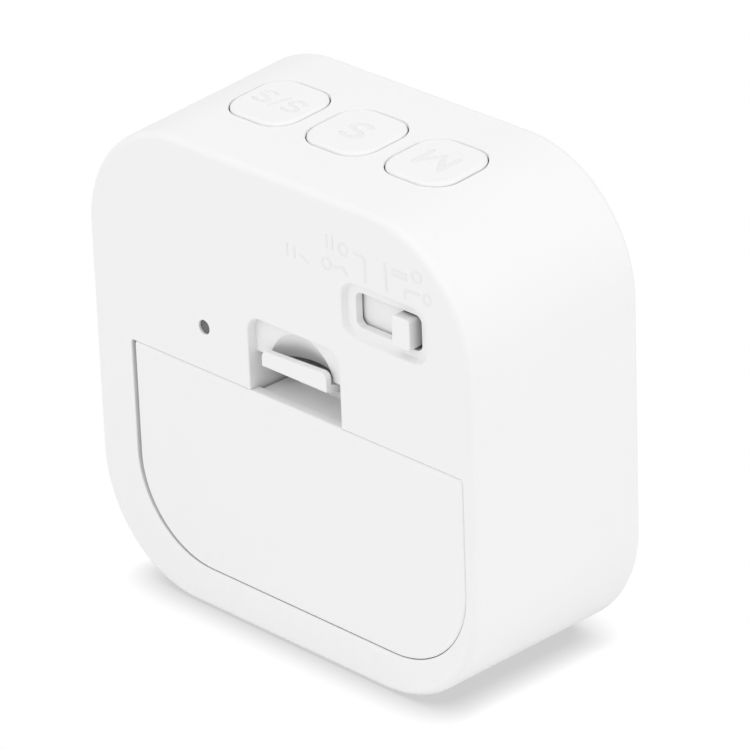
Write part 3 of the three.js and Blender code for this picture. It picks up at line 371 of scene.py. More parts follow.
# Switch legends: plain symbols and leader lines round the slide switch, cut into the mould so that they
# stand a little proud of the back. They are part of the housing's moulding in life.
def drawn(lines, width, low, high, place):
    """Strokes with round ends along lines of points, joined into one flat shape."""
    whole = None
    half = width / 2
    for line in lines:
        for start, end in zip(line, line[1:]):
            way = Vector(end) - Vector(start)
            bar = slab((-half, way.length + half), (-half, half), (low, high), half * 0.98, steps=5)
            turn = Matrix.Rotation(math.atan2(way.y, way.x), 4, "Z")
            lie = Matrix.Translation((*start, 0)) @ turn
            bmesh.ops.transform(bar, matrix=lie, verts=bar.verts)
            bar = form("strokes", bar, place)
            if whole:
                carve(whole, bar, "UNION")
            else:
                whole = bar
    return whole


def ring(middle, radii, steps=14):
    """Points once round an ellipse."""
    angles = [2 * math.pi * k / steps for k in range(steps + 1)]
    return [(middle[0] + radii[0] * math.cos(a), middle[1] + radii[1] * math.sin(a)) for a in angles]


LEADERS = (
    ((-15.83, 63.69), (-17.4, 63.6), (-17.72, 63.25), (-17.67, 60.1)),
    ((-21.42, 63.89), (-21.61, 60.1)),
    ((-11.96, 60.49), (-13.5, 60.9), (-14.3, 60.1)),
    ((-25.0, 60.1), (-25.06, 61.29), (-27.6, 61.38)),
)
SYMBOLS = (
    ((-10.7, 64.7), (-10.7, 63.0)), ((-11.7, 64.7), (-11.7, 63.0)),
    ring((-13.75, 63.55), (0.8, 0.85)),
    ((-3.1, 61.2), (-3.1, 59.6)), ((-4.5, 61.2), (-4.5, 59.6)),
    ((-5.7, 60.3), (-7.1, 59.6)),
    ring((-10.5, 60.6), (0.8, 0.85)),
    ((-22.8, 63.5), (-25.3, 63.5)), ((-22.8, 62.8), (-25.3, 62.8)),
    ring((-27.25, 63.75), (0.85, 0.75)),
    ring((-29.0, 61.1), (0.7, 0.75), 12),
)
LEADER_WIDTH, SYMBOL_WIDTH = 0.42, 0.36
LEGEND_ROOT, LEGEND_PROUD = -0.2, 0.06
legends = drawn(LEADERS, LEADER_WIDTH, LEGEND_ROOT, LEGEND_PROUD, ON_BACK)
carve(legends, drawn(SYMBOLS, SYMBOL_WIDTH, LEGEND_ROOT, LEGEND_PROUD, ON_BACK), "UNION")
legends.name = "switch_legends"
# Legend ABS: the case's satin white painted a little greyer, as painted shade for the low relief of the
# legends and the sunk initials.
legend_shade_abs = white_abs("white_abs_legend_shade", "#F0F0F0", "#EDEDED", 0.3)
finish(legends, legend_shade_abs)
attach(legends, "case")


# Keys: three caps of white ABS, a little proud of the sloping top, each on a stem over its switch.
# The flange under each cap holds it in from below. Their initials are sunk into the mould.
KEY_PROUD, KEY_EDGE, KEY_RADIUS = 0.35, 0.6, 3.8
CAP_ROOT, STEM_TOP = -3.4, 68.3
LETTER_CUT = (KEY_PROUD - 0.1, KEY_PROUD + 0.3)


def letter_m(x, width, height, stroke):
    """The letter M as a cutter, in straight strokes."""
    side, low, high = width / 2, KEY_Y - height / 2, KEY_Y + height / 2
    line = ((x - side, low), (x - side, high), (x, low + 0.3), (x + side, high), (x + side, low))
    return drawn([line], stroke, *LETTER_CUT, ON_TOP)


def letter_s(x, width, height, stroke):
    """The letter S as a cutter: a stroke swept along two arcs and drawn out to its width."""
    bm = bmesh.new()
    radius = height / 4
    half = stroke / 2
    face = panel(bm, (radius - half, radius + half), LETTER_CUT, 0, 0, 0)
    upright = Matrix.Rotation(math.radians(20), 4, "Z") @ Matrix.Rotation(math.pi / 2, 4, "X")
    bmesh.ops.transform(bm, matrix=Matrix.Translation((0, radius, 0)) @ upright, verts=bm.verts)
    geom = [*face.verts, *face.edges, face]
    for middle, turn in ((radius, 250), (-radius, -250)):
        geom = bmesh.ops.spin(
            bm, geom=geom, cent=(0, middle, 0), axis=(0, 0, 1), angle=math.radians(turn), steps=20,
        )["geom_last"]
    wide = Matrix.Diagonal((width / (2 * radius), 1, 1, 1))
    bmesh.ops.transform(bm, matrix=Matrix.Translation((x, KEY_Y, 0)) @ wide, verts=bm.verts)
    return form("letter_s", bm, ON_TOP)


def key_letters(name):
    """The cutters for the initials on one key."""
    if name == "minute":
        return [letter_m(KEY_X[name], width=4.7, height=3.6, stroke=0.9)]
    if name == "second":
        return [letter_s(KEY_X[name], width=2.9, height=3.9, stroke=0.75)]
    stroke = 0.6
    bar = ((13.6, KEY_Y - 1.6), (14.5, KEY_Y + 1.6))
    return [
        letter_s(11.3, width=2.2, height=3, stroke=stroke),
        drawn([bar], stroke, *LETTER_CUT, ON_TOP),
        letter_s(16.8, width=2.2, height=3, stroke=stroke),
    ]


# Satin ABS as on the case, with a slightly finer grain.
key_abs = white_abs("white_abs_keys", "#F5F5F5", "#F3F3F3", 0.3)
level = (Matrix.Scale(MM, 4) @ ON_TOP).inverted()
for name, middle in KEY_X.items():
    key = form(name + "_key_cap", slab(
        x=(middle - KEY_HALF, middle + KEY_HALF), y=(KEY_Y - KEY_HALF, KEY_Y + KEY_HALF),
        z=(CAP_ROOT, KEY_PROUD), low=KEY_RADIUS, edge=KEY_EDGE, steps=KEY_STEPS,
    ), ON_TOP)
    under = cad_solid(name + "_key", end=(0, 0, STEM_TOP), way=(0, 0, 1))
    carve(key, form("under", under), "UNION")
    for letter in key_letters(name):
        carve(key, letter)
    finish(key, key_abs, legend_shade_abs)
    # Painted shade: the floors of the sunk initials take the greyer legend ABS.
    for face in key.data.polygons:
        if abs((level @ face.center).z - LETTER_CUT[0]) < 0.01:
            face.material_index = 1
    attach(key, name + "_key")
    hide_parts(name + "_key")


# Mode slider: a small white knob on a flat shutter that fills the slot behind it. It slides along the
# back wall and carries the lever of the switch behind, and is moulded in ABS like the case.
KNOB_X, SLOT_Z = -24.4, 55.05
SHUTTER = (-3.3, -2.5)
slider = form("mode_slider_knob", slab(
    x=(KNOB_X - 1.6, KNOB_X + 1.6), y=(SLOT_Z - 2.2, SLOT_Z + 2.2), z=(SHUTTER[0], 0.5),
    low=0.45, edge=0.18, steps=6,
), ON_BACK)
carve(slider, form("shutter", slab(
    x=(KNOB_X - 9, KNOB_X + 11.9), y=(SLOT_Z - 3, SLOT_Z + 3), z=SHUTTER,
    low=2.4, edge=0.1, steps=6,
), ON_BACK), "UNION")
# The same satin ABS with a stronger painted shade: the knob's sides stand in the shade of its recess,
# and are painted greyer than its face. The shutter is as the case.
slider_abs = white_abs(
    "white_abs_slider", "#F5F5F5", "#F3F3F3", pocket="#C4C4C4", closed=(0.2, 0.75),
)
finish(slider, slider_abs, case_abs)
for face in slider.data.polygons:
    if face.center.y < (CASE_BACK + SHUTTER[1] + 0.1) * MM:
        face.material_index = 1
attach(slider, "mode_slider")
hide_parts("mode_slider")


# Battery door: a flat plate of white ABS flush with the back, with a folded ledge at its top for the
# latch. Two tongues at the bottom hook behind the back wall, and the door tilts out on them.
door = form("battery_door_plate", slab(
    x=(-34.45, 28.34), y=(6.3, 36.91), z=(-1.6, 0), low=13.75, high=0.4, edge=0.35,
), ON_BACK)
folds = cad_solid("battery_door", end=(0, 13.72, 0), way=(0, 1, 0))
carve(door, form("folds", folds), "UNION")
finish(door, case_abs)
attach(door, "battery_door")
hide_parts("battery_door")


# Door latch: a lip on a springy strip that bends at the fold of the door. A fingertip in the scoop
# presses it down to free the door. One moulding with the door in life, so it has the same white ABS.
LIP_X, LIP_Z = (LATCH_X - 6.175, LATCH_X + 6.175), (41.4, 43.6)
LIP_RAKE = -0.045
lip = slab(
    x=LIP_X, y=(LIP_Z[0], LIP_Z[1] + 0.3), z=(-0.95, 0), low=0.12, high=1.0, edge=0.1, steps=8,
)
rake = Matrix(((1, 0, 0, 0), (LIP_RAKE, 1, 0, -LIP_RAKE * LATCH_X), (0, 0, 1, 0), (0, 0, 0, 1)))
upper = [vert for vert in lip.verts if vert.co.y > (LIP_Z[0] + LIP_Z[1]) / 2]
bmesh.ops.transform(lip, matrix=rake, verts=upper)
latch = form("door_latch_lip", lip, ON_BACK)
strip = cad_solid("door_latch", end=(0, 14.6, 0), way=(0, 1, 0))
carve(latch, form("strip", strip), "UNION")
finish(latch, case_abs)
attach(latch, "door_latch")
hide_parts("door_latch")


# Front bezel: the flat white panel that closes the case, with a seat for the window and an opening
# behind it. Its posts carry the main board and its two clips snap behind the housing's side walls.
ON_FRONT = Matrix(((1, 0, 0, 0), (0, 0, -1, CASE_FRONT), (0, 1, 0, 0), (0, 0, 0, 1)))
BEZEL_BACK, BEZEL_INSET = -12.9, 1.65
WINDOW_X, WINDOW_Z, WINDOW_RADIUS = (-27, 27), (19, 55), 4
WINDOW_GAP = 0.15
bezel = form(
    "front_bezel_panel", case_form(BEZEL_INSET, CASE_FRONT, BEZEL_BACK, front_edge=0.3), ON_BACK,
)
carve(bezel, form("seat", well(
    x=(WINDOW_X[0] - WINDOW_GAP, WINDOW_X[1] + WINDOW_GAP),
    y=(WINDOW_Z[0] - WINDOW_GAP, WINDOW_Z[1] + WINDOW_GAP),
    depth=1.5, low=WINDOW_RADIUS + WINDOW_GAP, high=WINDOW_RADIUS + WINDOW_GAP, roll=0.2,
), ON_FRONT))
posts = cad_solid("front_bezel", end=(0, BEZEL_BACK - 0.05, 0), way=(0, -1, 0))
carve(bezel, form("posts", posts), "UNION")
carve(bezel, form("view", slab(x=(-25, 25), y=(21, 53), z=(-3.4, -1.4), low=2), ON_FRONT))
finish(bezel, case_abs)
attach(bezel, "case")
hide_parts("front_bezel")


# Display window: a clear sheet of tinted acrylic with polished, rounded edges, stuck into its seat with
# a frame of black foam tape that shows through it as a dark border.
# Polished acrylic: near clear with a cool grey tint, and a mirror-like skin with faint wipe marks.
acrylic = new_material("polished_acrylic")
tree = acrylic.node_tree
spot = add(tree, "TexCoord").outputs["Object"]
wipes = add(tree, "TexNoise", {
    "Vector": spot, "Scale": 1 / (9 * MM), "Detail": 4.0, "Distortion": 1.5,
})
haze = add(tree, "MapRange", {"Value": wipes.outputs["Fac"], "To Min": 0.03, "To Max": 0.09})
tint = add(tree, "MixRGB", {
    "Fac": wipes.outputs["Fac"], "Color1": linear("#EAEFEF"), "Color2": linear("#F1F4F4"),
})
clear = add(tree, "BsdfPrincipled", {
    "Base Color": tint.outputs["Color"], "Roughness": haze.outputs["Result"],
    "Transmission Weight": 1.0, "IOR": 1.49,
})
# Light from the lamps goes straight through, so that the display behind is lit
lit = add(tree, "BsdfTransparent", {"Color": linear("#EEF2F2")})
lamps = add(tree, "LightPath").outputs["Is Shadow Ray"]
either = add(tree, "MixShader", {0: lamps, 1: clear.outputs["BSDF"], 2: lit.outputs["BSDF"]})
add(tree, "OutputMaterial", {"Surface": either.outputs["Shader"]})
window = form("display_window_sheet", slab(
    x=WINDOW_X, y=WINDOW_Z, z=(-1.2, 0), low=WINDOW_RADIUS, edge=0.3,
), ON_FRONT)
finish(window, acrylic)
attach(window, "case")
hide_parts("display_window")


# Window tape: a frame of black foam, cut from sheet and sticky on both faces, between the window and
# the bottom of its seat.
def dark_skin(name, light, dark, pore, rough, depth):
    """Foam, resin, soft plastic or rubber: these differ in the size of their pores and in sheen."""
    material = new_material(name)
    tree = material.node_tree
    spot = add(tree, "TexCoord").outputs["Object"]
    pores = add(tree, "TexNoise", {"Vector": spot, "Scale": 1 / (pore * MM), "Detail": 3.0})
    colour = add(tree, "MixRGB", {
        "Fac": pores.outputs["Fac"], "Color1": linear(dark), "Color2": linear(light),
    })
    gloss = add(tree, "MapRange", {
        "Value": pores.outputs["Fac"], "To Min": rough[0], "To Max": rough[1],
    })
    bump = add(tree, "Bump", {
        "Height": pores.outputs["Fac"], "Strength": 0.4, "Distance": depth * MM,
    })
    skin = add(tree, "BsdfPrincipled", {
        "Base Color": colour.outputs["Color"], "Roughness": gloss.outputs["Result"],
        "Normal": bump.outputs["Normal"],
    })
    add(tree, "OutputMaterial", {"Surface": skin.outputs["BSDF"]})
    return material


def dress(material, *nodes):
    """Gives CAD nodes whose shape is right their material."""
    for node in nodes:
        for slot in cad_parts[node].material_slots:
            slot.material = material


# Closed-cell foam: matt black with open pores about 0.4 mm across.
dress(dark_skin("black_foam_tape", "#2B2B2C", "#151516", 0.4, (0.8, 0.95), 0.08), "window_tape")


# Liquid crystal display: two glass plates behind a grey-green polarising film, with the time in dark
# segments on it. A white film behind it sends the light back, and a frame of white ABS holds it on the
# board.
# Polarising film over glass: a pale grey-green, satin face with a very faint mottle.
film = new_material("polariser_on_glass")
tree = film.node_tree
spot = add(tree, "TexCoord").outputs["Object"]
mottle = add(tree, "TexNoise", {"Vector": spot, "Scale": 1 / (6 * MM), "Detail": 3.0})
tone = add(tree, "MixRGB", {
    "Fac": mottle.outputs["Fac"], "Color1": linear("#B4BDAB"), "Color2": linear("#BDC6B4"),
})
sheen = add(tree, "MapRange", {"Value": mottle.outputs["Fac"], "To Min": 0.24, "To Max": 0.34})
face = add(tree, "BsdfPrincipled", {
    "Base Color": tone.outputs["Color"], "Roughness": sheen.outputs["Result"], "IOR": 1.52,
})
add(tree, "OutputMaterial", {"Surface": face.outputs["BSDF"]})
dress(film, "lcd_panel")

GLASS_FRONT, INK = -2.4, 0.03
DIGIT_X, DIGIT_Z = (-17.6, -6.6, 6.6, 17.6), 37
DIGIT_WIDTH, DIGIT_HEIGHT, DIGIT_LEAN = 7.6, 15.2, 0.09
BAR, BAR_GAP, BAR_POINT = 1.5, 0.12, 0.73
COLON_REACH = 3.2
segments = bmesh.new()


def segment(x, y):
    """A flat bar of a digit with pointed ends."""
    push(segments, panel(segments, x, y, GLASS_FRONT, BAR_POINT, BAR_POINT, steps=1), INK)


low, high = DIGIT_Z - DIGIT_HEIGHT / 2, DIGIT_Z + DIGIT_HEIGHT / 2
side, half_bar = DIGIT_WIDTH / 2, BAR / 2
for middle in DIGIT_X:
    across = (middle - side + half_bar + BAR_GAP, middle + side - half_bar - BAR_GAP)
    for y in (low, high - BAR):
        segment(across, (y, y + BAR))
    for x in (middle - side, middle + side - BAR):
        for y in ((low + half_bar, DIGIT_Z), (DIGIT_Z, high - half_bar)):
            segment((x, x + BAR), (y[0] + BAR_GAP, y[1] - BAR_GAP))
for y in (DIGIT_Z - COLON_REACH, DIGIT_Z + COLON_REACH):
    segment((-half_bar, half_bar), (y - half_bar, y + half_bar))
slant = Matrix.Identity(4)
slant[0][1], slant[0][3] = DIGIT_LEAN, -DIGIT_LEAN * DIGIT_Z
bmesh.ops.transform(segments, matrix=slant, verts=segments.verts)
time_shown = form("lcd_segments", segments, ON_FRONT)
# Switched liquid crystal: near black with a blue cast, as satin as the film that it shows through.
finish(time_shown, dark_skin("switched_crystal", "#2A2F33", "#22272B", 3.0, (0.26, 0.34), 0.001))
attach(time_shown, "case")

# Reflector film and holder: plain matt white
dress(white_abs("white_film_pressed", "#F0F0EC", "#EAEAE6", 0.8), "lcd_reflector")
dress(white_abs("white_abs_inner", "#EFEFEC", "#EAEAE7"), "lcd_holder")


# Zebra connector and ribbons: thin layers that carry many signals side by side. The connector is
# silicone rubber pressed between glass and board, and the ribbons are tinned wires laid in clear film.
def striped(name, pitch, light, dark, sharp, rough):
    """Stripes across X, a pitch apart, over a fine noise."""
    material = new_material(name)
    tree = material.node_tree
    spot = add(tree, "TexCoord").outputs["Object"]
    # A wave's bands repeat every 2 pi / (20 x scale)
    waves = math.pi / (10 * pitch * MM)
    bands = add(tree, "TexWave", {"Vector": spot, "Scale": waves}, bands_direction="X")
    edge = add(tree, "MapRange", {
        "Value": bands.outputs["Fac"], "From Min": 0.5 - sharp, "From Max": 0.5 + sharp,
    })
    colour = add(tree, "MixRGB", {
        "Fac": edge.outputs["Result"], "Color1": linear(dark), "Color2": linear(light),
    })
    grain = add(tree, "TexNoise", {"Vector": spot, "Scale": 1 / (0.5 * MM), "Detail": 2.0})
    gloss = add(tree, "MapRange", {
        "Value": grain.outputs["Fac"], "To Min": rough - 0.06, "To Max": rough + 0.06,
    })
    bump = add(tree, "Bump", {
        "Height": edge.outputs["Result"], "Strength": 0.3, "Distance": 0.05 * MM,
    })
    skin = add(tree, "BsdfPrincipled", {
        "Base Color": colour.outputs["Color"], "Roughness": gloss.outputs["Result"],
        "Normal": bump.outputs["Normal"],
    })
    add(tree, "OutputMaterial", {"Surface": skin.outputs["BSDF"]})
    return material


# Layered silicone: black and pale layers, drawn 0.4 mm apart where the real ones are 0.1 mm.
dress(striped("layered_silicone", 0.4, "#C9B9AE", "#2A2A2C", 0.2, 0.62), "zebra_connector")
# Laminated ribbon: tinned wires 1 mm apart show grey through pale film.
ribbon = striped("laminated_ribbon", 1.0, "#D9D5C8", "#A8A9AA", 0.15, 0.4)
dress(ribbon, "key_board_ribbon", "switch_ribbon")


# Boards: glass-fibre laminate with green solder resist, drilled for the screws that hold them to their
# posts.
# Solder resist: a glossy, slightly uneven green coat in which the copper tracks show as paler lines.
resist = new_material("solder_resist_board")
tree = resist.node_tree
spot = add(tree, "TexCoord").outputs["Object"]
tracks = add(tree, "TexBrick", {
    "Vector": spot, "Scale": 1 / (4 * MM), "Brick Width": 1.6, "Row Height": 0.45,
    "Color1": linear("#1E5A36"), "Color2": linear("#23633C"),
    "Mortar": linear("#3F8A58"), "Mortar Size": 0.06, "Mortar Smooth": 0.2,
})
coat = add(tree, "TexNoise", {"Vector": spot, "Scale": 1 / (2.5 * MM), "Detail": 2.0})
gloss = add(tree, "MapRange", {"Value": coat.outputs["Fac"], "To Min": 0.24, "To Max": 0.4})
bump = add(tree, "Bump", {"Height": tracks.outputs["Fac"], "Strength": 0.4, "Distance": 0.04 * MM})
skin = add(tree, "BsdfPrincipled", {
    "Base Color": tracks.outputs["Color"], "Roughness": gloss.outputs["Result"],
    "Normal": bump.outputs["Normal"], "IOR": 1.5,
})
add(tree, "OutputMaterial", {"Surface": skin.outputs["BSDF"]})
dress(resist, "main_board", "key_board", "switch_board")


# Screws, the crystal's can, the switch's cover and the battery contacts: plated steel, turned, drawn or
# stamped. The contacts hook into the tub's end walls and their tails reach the main board.
def plated(name, light, dark, streak, rough):
    """Plated metal: a clean mirror broken by fine streaks of the drawn or rolled steel below."""
    material = new_material(name)
    tree = material.node_tree
    spot = add(tree, "TexCoord").outputs["Object"]
    along = add(tree, "Mapping", {"Vector": spot, "Scale": streak})
    lines = add(tree, "TexNoise", {
        "Vector": along.outputs["Vector"], "Scale": 1 / (1.2 * MM), "Detail": 5.0,
    })
    colour = add(tree, "MixRGB", {
        "Fac": lines.outputs["Fac"], "Color1": linear(dark), "Color2": linear(light),
    })
    gloss = add(tree, "MapRange", {
        "Value": lines.outputs["Fac"], "To Min": rough[0], "To Max": rough[1],
    })
    bump = add(tree, "Bump", {
        "Height": lines.outputs["Fac"], "Strength": 0.15, "Distance": 0.02 * MM,
    })
    skin = add(tree, "BsdfPrincipled", {
        "Base Color": colour.outputs["Color"], "Metallic": 1.0, "Roughness": gloss.outputs["Result"],
        "Normal": bump.outputs["Normal"],
    })
    add(tree, "OutputMaterial", {"Surface": skin.outputs["BSDF"]})
    return material


# Zinc-plated steel: a cool, bright grey with turning marks round each head.
zinc = plated("zinc_plated_steel", "#C4C7CA", "#B1B5B9", (1, 1, 4), (0.26, 0.4))
dress(
    zinc, "main_board_screw_1", "main_board_screw_2", "main_board_screw_3", "main_board_screw_4",
    "key_board_screw_left", "key_board_screw_right",
    "switch_board_screw_left", "switch_board_screw_right",
)
# Nickel-plated steel: a warmer grey, drawn along X on the can and cover.
drawn_nickel = plated("nickel_plated_drawn", "#CBC9C2", "#B8B6AF", (0.15, 2, 2), (0.2, 0.34))
dress(drawn_nickel, "clock_crystal", "slide_switch_body")
# Rolled nickel strip: streaks run up the contacts.
rolled_nickel = plated("nickel_plated_rolled", "#CFCDC6", "#BBB9B2", (2, 2, 0.15), (0.18, 0.32))
dress(rolled_nickel, "negative_contact", "positive_contact", "bridge_contact")


# Black parts on the boards: the controller under its drop of resin, the key switches with their
# plungers, the slide switch's lever and the buzzer. They are soldered down, and only the plungers and
# the lever move.
# Epoxy drop: black and glossy with a soft ripple from where it was poured.
dress(dark_skin("poured_epoxy", "#19191A", "#101011", 2.2, (0.12, 0.26), 0.15), "controller_chip")
# Moulded switch plastic: fine even grain, satin.
dress(
    dark_skin("moulded_black_nylon", "#252527", "#1B1B1D", 0.3, (0.42, 0.56), 0.01),
    "minute_switch", "second_switch", "start_stop_switch",
    "minute_plunger", "second_plunger", "start_stop_plunger", "slide_switch_lever",
)
# Buzzer can: a coarser spark-eroded grain.
dress(dark_skin("moulded_black_pbt", "#202022", "#161618", 0.6, (0.5, 0.62), 0.03), "buzzer")
# Buzzer leads: stranded wire in soft PVC, which is smooth with a slight waviness.
red_pvc = dark_skin("red_pvc_insulation", "#A8231C", "#961D17", 1.5, (0.34, 0.44), 0.02)
dress(red_pvc, "buzzer_lead_1")
black_pvc = dark_skin("black_pvc_insulation", "#29292B", "#202022", 1.5, (0.34, 0.44), 0.02)
dress(black_pvc, "buzzer_lead_2")


# Dust gauze: a small disc of woven nylon stuck behind the sound hole, to keep crumbs out of the buzzer.
# It shows through the hole as an even dark grey.
gauze = form("dust_gauze", slab(
    x=(11.1, 16.9), y=(40.6, 46.4), z=(-SOUND_SKIN - 0.2, -SOUND_SKIN - 0.02), low=2.88, edge=0.05,
), ON_BACK)
# Woven nylon: grey threads and darker gaps, drawn 0.3 mm apart where the real ones are 0.1 mm.
nylon = new_material("woven_nylon")
tree = nylon.node_tree
spot = add(tree, "TexCoord").outputs["Object"]
weave = add(tree, "TexChecker", {
    "Vector": spot, "Scale": 1 / (0.3 * MM),
    "Color1": linear("#787878"), "Color2": linear("#606060"),
})
fuzz = add(tree, "TexNoise", {"Vector": spot, "Scale": 1 / (0.2 * MM), "Detail": 2.0})
rough = add(tree, "MapRange", {"Value": fuzz.outputs["Fac"], "To Min": 0.65, "To Max": 0.8})
bump = add(tree, "Bump", {"Height": weave.outputs["Fac"], "Strength": 0.3, "Distance": 0.03 * MM})
skin = add(tree, "BsdfPrincipled", {
    "Base Color": weave.outputs["Color"], "Roughness": rough.outputs["Result"],
    "Normal": bump.outputs["Normal"],
})
add(tree, "OutputMaterial", {"Surface": skin.outputs["BSDF"]})
finish(gauze, nylon)
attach(gauze, "case")


# Cells: two AAA cells that lie head to tail in the bay, each a steel can in a printed plastic jacket
# that is shrunk over both rims. The jackets are plain, with a pale band at the positive end.
CELL_Y, CELL_Z = 8.05, {"upper": 27.125, "lower": 16.025}
CELL_TURNS = 72
JACKET_RIM, BAND_START = 4.25, 34.5
# Half of a cell's outline from its flat end: along the cell, and out from its middle
CELL_PROFILE = (
    (0.3, 0), (0.3, 4.2), (0.06, 4.42), (0, 4.8), (0.12, 5.1), (0.4, 5.25), (BAND_START, 5.25),
    (43.3, 5.25), (43.58, 5.1), (43.7, 4.8), (43.62, 4.3), (43.4, 3.9), (43.4, 2.5), (43.55, 2.05),
    (43.75, 1.9), (44.3, 1.87), (44.45, 1.75), (44.5, 1.4), (44.5, 0),
)
# Shrunk jacket film: smooth and glossy, with faint waves along the cell where it drew in.
jackets = []
for name, light, dark in (
    ("printed_jacket_dark", "#454A51", "#3D4249"), ("printed_jacket_band", "#C9CCCF", "#BFC2C6"),
):
    jacket = new_material(name)
    tree = jacket.node_tree
    spot = add(tree, "TexCoord").outputs["Object"]
    wave = add(tree, "TexNoise", {"Vector": spot, "Scale": 1 / (5 * MM), "Detail": 2.0})
    tone = add(tree, "MixRGB", {
        "Fac": wave.outputs["Fac"], "Color1": linear(dark), "Color2": linear(light),
    })
    gloss = add(tree, "MapRange", {"Value": wave.outputs["Fac"], "To Min": 0.2, "To Max": 0.32})
    bump = add(tree, "Bump", {"Height": wave.outputs["Fac"], "Strength": 0.2, "Distance": 0.1 * MM})
    skin = add(tree, "BsdfPrincipled", {
        "Base Color": tone.outputs["Color"], "Roughness": gloss.outputs["Result"],
        "Normal": bump.outputs["Normal"], "Coat Weight": 0.4, "IOR": 1.5,
    })
    add(tree, "OutputMaterial", {"Surface": skin.outputs["BSDF"]})
    jackets.append(jacket)
for row, flat_end, way in (("upper", -22.56, 1), ("lower", 16.44, -1)):
    bm = bmesh.new()
    points = [bm.verts.new((along, 0, radius)) for along, radius in CELL_PROFILE]
    edges = [bm.edges.new(pair) for pair in zip(points, points[1:])]
    bmesh.ops.spin(
        bm, geom=[*points, *edges], cent=(0, 0, 0), axis=(1, 0, 0), angle=2 * math.pi,
        steps=CELL_TURNS, use_merge=True,
    )
    bmesh.ops.remove_doubles(bm, verts=bm.verts, dist=0.001)
    for face in bm.faces:
        middle = face.calc_center_median()
        wrapped = math.hypot(middle.y, middle.z) > JACKET_RIM
        face.material_index = 0 if not wrapped else 2 if middle.x > BAND_START else 1
    lie = Matrix.Translation((flat_end, CELL_Y, CELL_Z[row])) @ Matrix.Diagonal((way, 1, 1, 1))
    cell = form("aaa_cell_" + row + "_jacketed", bm, lie)
    finish(cell, rolled_nickel, *jackets, angle=30)
    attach(cell, "case")
    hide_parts("aaa_cell_" + row)


# Contact springs: spring wire wound in four narrowing turns on the end plates, and nickel plated like
# them. They press on the flat ends of the cells.
# Plated spring wire: bright, with die marks along the wire.
wire_nickel = plated("nickel_plated_wire", "#D2D0C9", "#BEBCB5", (1.5, 1, 1), (0.2, 0.34))
SPRING_TURNS, TURN_STEPS = 4, 28
WIRE, COIL, NARROWS = 0.3, 3.6, 1.2
for row, base, tip in (("upper", -27.76, -22.96), ("lower", 21.64, 16.84)):
    bm = bmesh.new()
    wire_end = bmesh.ops.create_circle(
        bm, segments=12, radius=WIRE, matrix=Matrix.Translation((base, COIL, 0)),
    )["verts"]
    steps = SPRING_TURNS * TURN_STEPS
    bmesh.ops.spin(
        bm, geom=[*wire_end, *bm.edges], cent=(base, 0, 0), axis=(1, 0, 0),
        dvec=((tip - base) / steps, 0, 0), angle=2 * math.pi * SPRING_TURNS, steps=steps,
    )
    bmesh.ops.holes_fill(bm, edges=[edge for edge in bm.edges if edge.is_boundary], sides=0)
    for vert in bm.verts:
        reach = math.hypot(vert.co.y, vert.co.z)
        narrow = 1 - NARROWS * (vert.co.x - base) / (tip - base) / reach
        vert.co.y, vert.co.z = vert.co.y * narrow, vert.co.z * narrow
    place = Matrix.Translation((0, CELL_Y, CELL_Z[row]))
    spring = form("cell_spring_" + row + "_wound", bm, place)
    finish(spring, wire_nickel, angle=60)
    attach(spring, "case")
    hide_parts("cell_spring_" + row)


# Studio: one plain white surface that runs off in all directions, under a pale tent and four soft
# boxes. Straight to the camera the floor glows plain white, with a shadow painted into that glow close
# to the case, where the least light reaches it.
def sees_white(tree):
    """1 for rays that meet plain white: from the camera, off gloss and through glass."""
    path = add(tree, "LightPath").outputs
    seen = path["Is Camera Ray"]
    for ray in ("Is Glossy Ray", "Is Transmission Ray"):
        seen = add(tree, "Math", {0: seen, 1: path[ray]}, operation="MAXIMUM").outputs["Value"]
    return seen


FLOOR_HALF = 4000
FLOOR_SHADE_REACH, FLOOR_SHADE = 5, (0.3, 0.97)
ground = bmesh.new()
bmesh.ops.create_grid(ground, x_segments=1, y_segments=1, size=FLOOR_HALF)
floor = form("studio_floor", ground)
# White paper: matt, and bright enough to lose its own texture.
sweep = new_material("white_paper")
tree = sweep.node_tree
# Painted shadow: what the camera sees of the floor is painted grey where the case closes it in.
shade = add(tree, "AmbientOcclusion", {"Distance": FLOOR_SHADE_REACH * MM}, samples=32)
reach = add(tree, "MapRange", {
    "Value": shade.outputs["AO"], "From Min": FLOOR_SHADE[0], "From Max": FLOOR_SHADE[1],
})
tone = add(tree, "MixRGB", {
    "Fac": reach.outputs["Result"], "Color1": linear("#CDCDCD"), "Color2": linear("#FFFFFF"),
})
glow = add(tree, "Emission", {"Color": tone.outputs["Color"], "Strength": 1.0})
paper = add(tree, "BsdfDiffuse", {"Color": linear("#FAFAFA")})
either = add(tree, "MixShader", {
    0: sees_white(tree), 1: paper.outputs["BSDF"], 2: glow.outputs["Emission"],
})
add(tree, "OutputMaterial", {"Surface": either.outputs["Shader"]})
floor.data.materials.append(sweep)

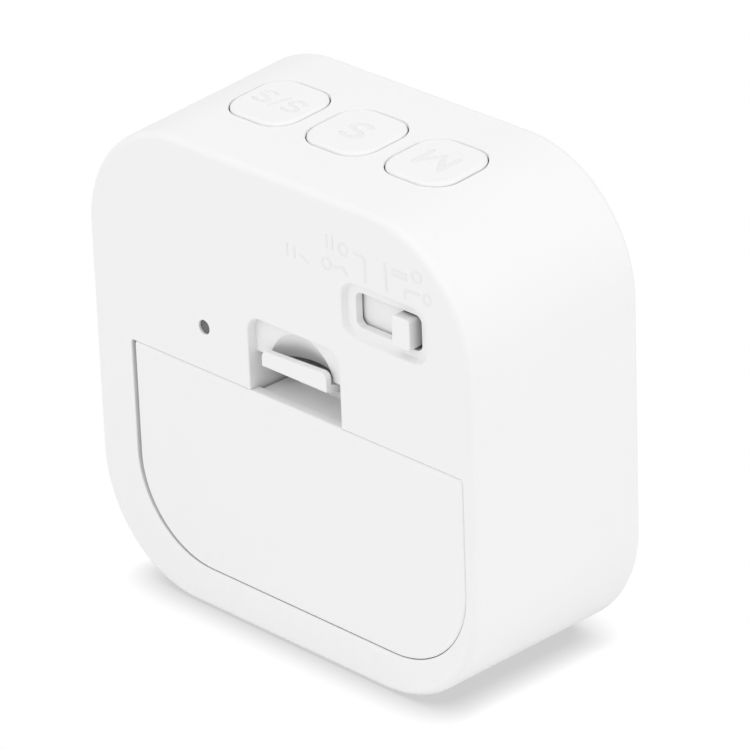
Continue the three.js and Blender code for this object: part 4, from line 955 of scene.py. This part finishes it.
TENT_LIGHT = 0.66
tent = bpy.data.worlds.new("white_tent")
tent.use_nodes = True
tent.node_tree.nodes.clear()
tree = tent.node_tree
soft = add(tree, "Background", {"Color": linear("#FFFFFF"), "Strength": TENT_LIGHT})
plain = add(tree, "Background", {"Color": linear("#FFFFFF"), "Strength": 1.0})
either = add(tree, "MixShader", {
    0: sees_white(tree), 1: soft.outputs["Background"], 2: plain.outputs["Background"],
})
add(tree, "OutputWorld", {"Surface": either.outputs["Shader"]})
bpy.context.scene.world = tent
bpy.context.scene.view_settings.view_transform = "Standard"

# Soft boxes: two face the back, one the switch side, and one hangs above. Each has its way and watts.
SOFT_BOX_REACH, SOFT_BOX_SIZE = 1.2, 0.9
CASE_MIDDLE = Vector((0, 0, 36 * MM))
SOFT_BOXES = (
    ("soft_box_back", (-0.05, 0.77, 0.64), 2.2),
    ("soft_box_corner", (0.6, 0.7, 0.4), 1.15),
    ("soft_box_side", (-0.85, -0.25, 0.45), 3.05),
    ("soft_box_top", (0.02, 0.02, 1), 2.35),
)
for name, way, watts in SOFT_BOXES:
    lamp = bpy.data.lights.new(name, "AREA")
    lamp.shape, lamp.size, lamp.energy = "SQUARE", SOFT_BOX_SIZE, watts
    box = bpy.data.objects.new(name, lamp)
    way = Vector(way).normalized()
    turn = way.to_track_quat("Z", "Y").to_matrix().to_4x4()
    box.matrix_world = Matrix.Translation(way * SOFT_BOX_REACH + CASE_MIDDLE) @ turn
    bpy.context.scene.collection.objects.link(box)


# Camera: a long lens behind the timer, above it and towards its switch side, turned a touch on its
# axis.
AZIMUTH, ELEVATION, ROLL = 226.275, 26.155, -2.1
DISTANCE, AIM = 740.86, (-2.911, 0, 36.242)
SENSOR, FOCAL_LENGTH = 36, 264
side, rise = math.radians(AZIMUTH), math.radians(ELEVATION)
back = Vector((math.sin(side) * math.cos(rise), -math.cos(side) * math.cos(rise), math.sin(rise)))
right = Vector((math.cos(side), math.sin(side), 0))
up = back.cross(right)
turn = Matrix((right, up, back)).transposed() @ Matrix.Rotation(math.radians(ROLL), 3, "Z")
lens = bpy.data.cameras.new("photo_camera")
lens.sensor_width, lens.lens = SENSOR, FOCAL_LENGTH
lens.clip_start, lens.clip_end = 0.01, 20
camera = bpy.data.objects.new("photo_camera", lens)
camera.matrix_world = Matrix.Translation((Vector(AIM) + DISTANCE * back) * MM) @ turn.to_4x4()
bpy.context.scene.collection.objects.link(camera)
bpy.context.scene.camera = camera

bpy.context.view_layer.update()
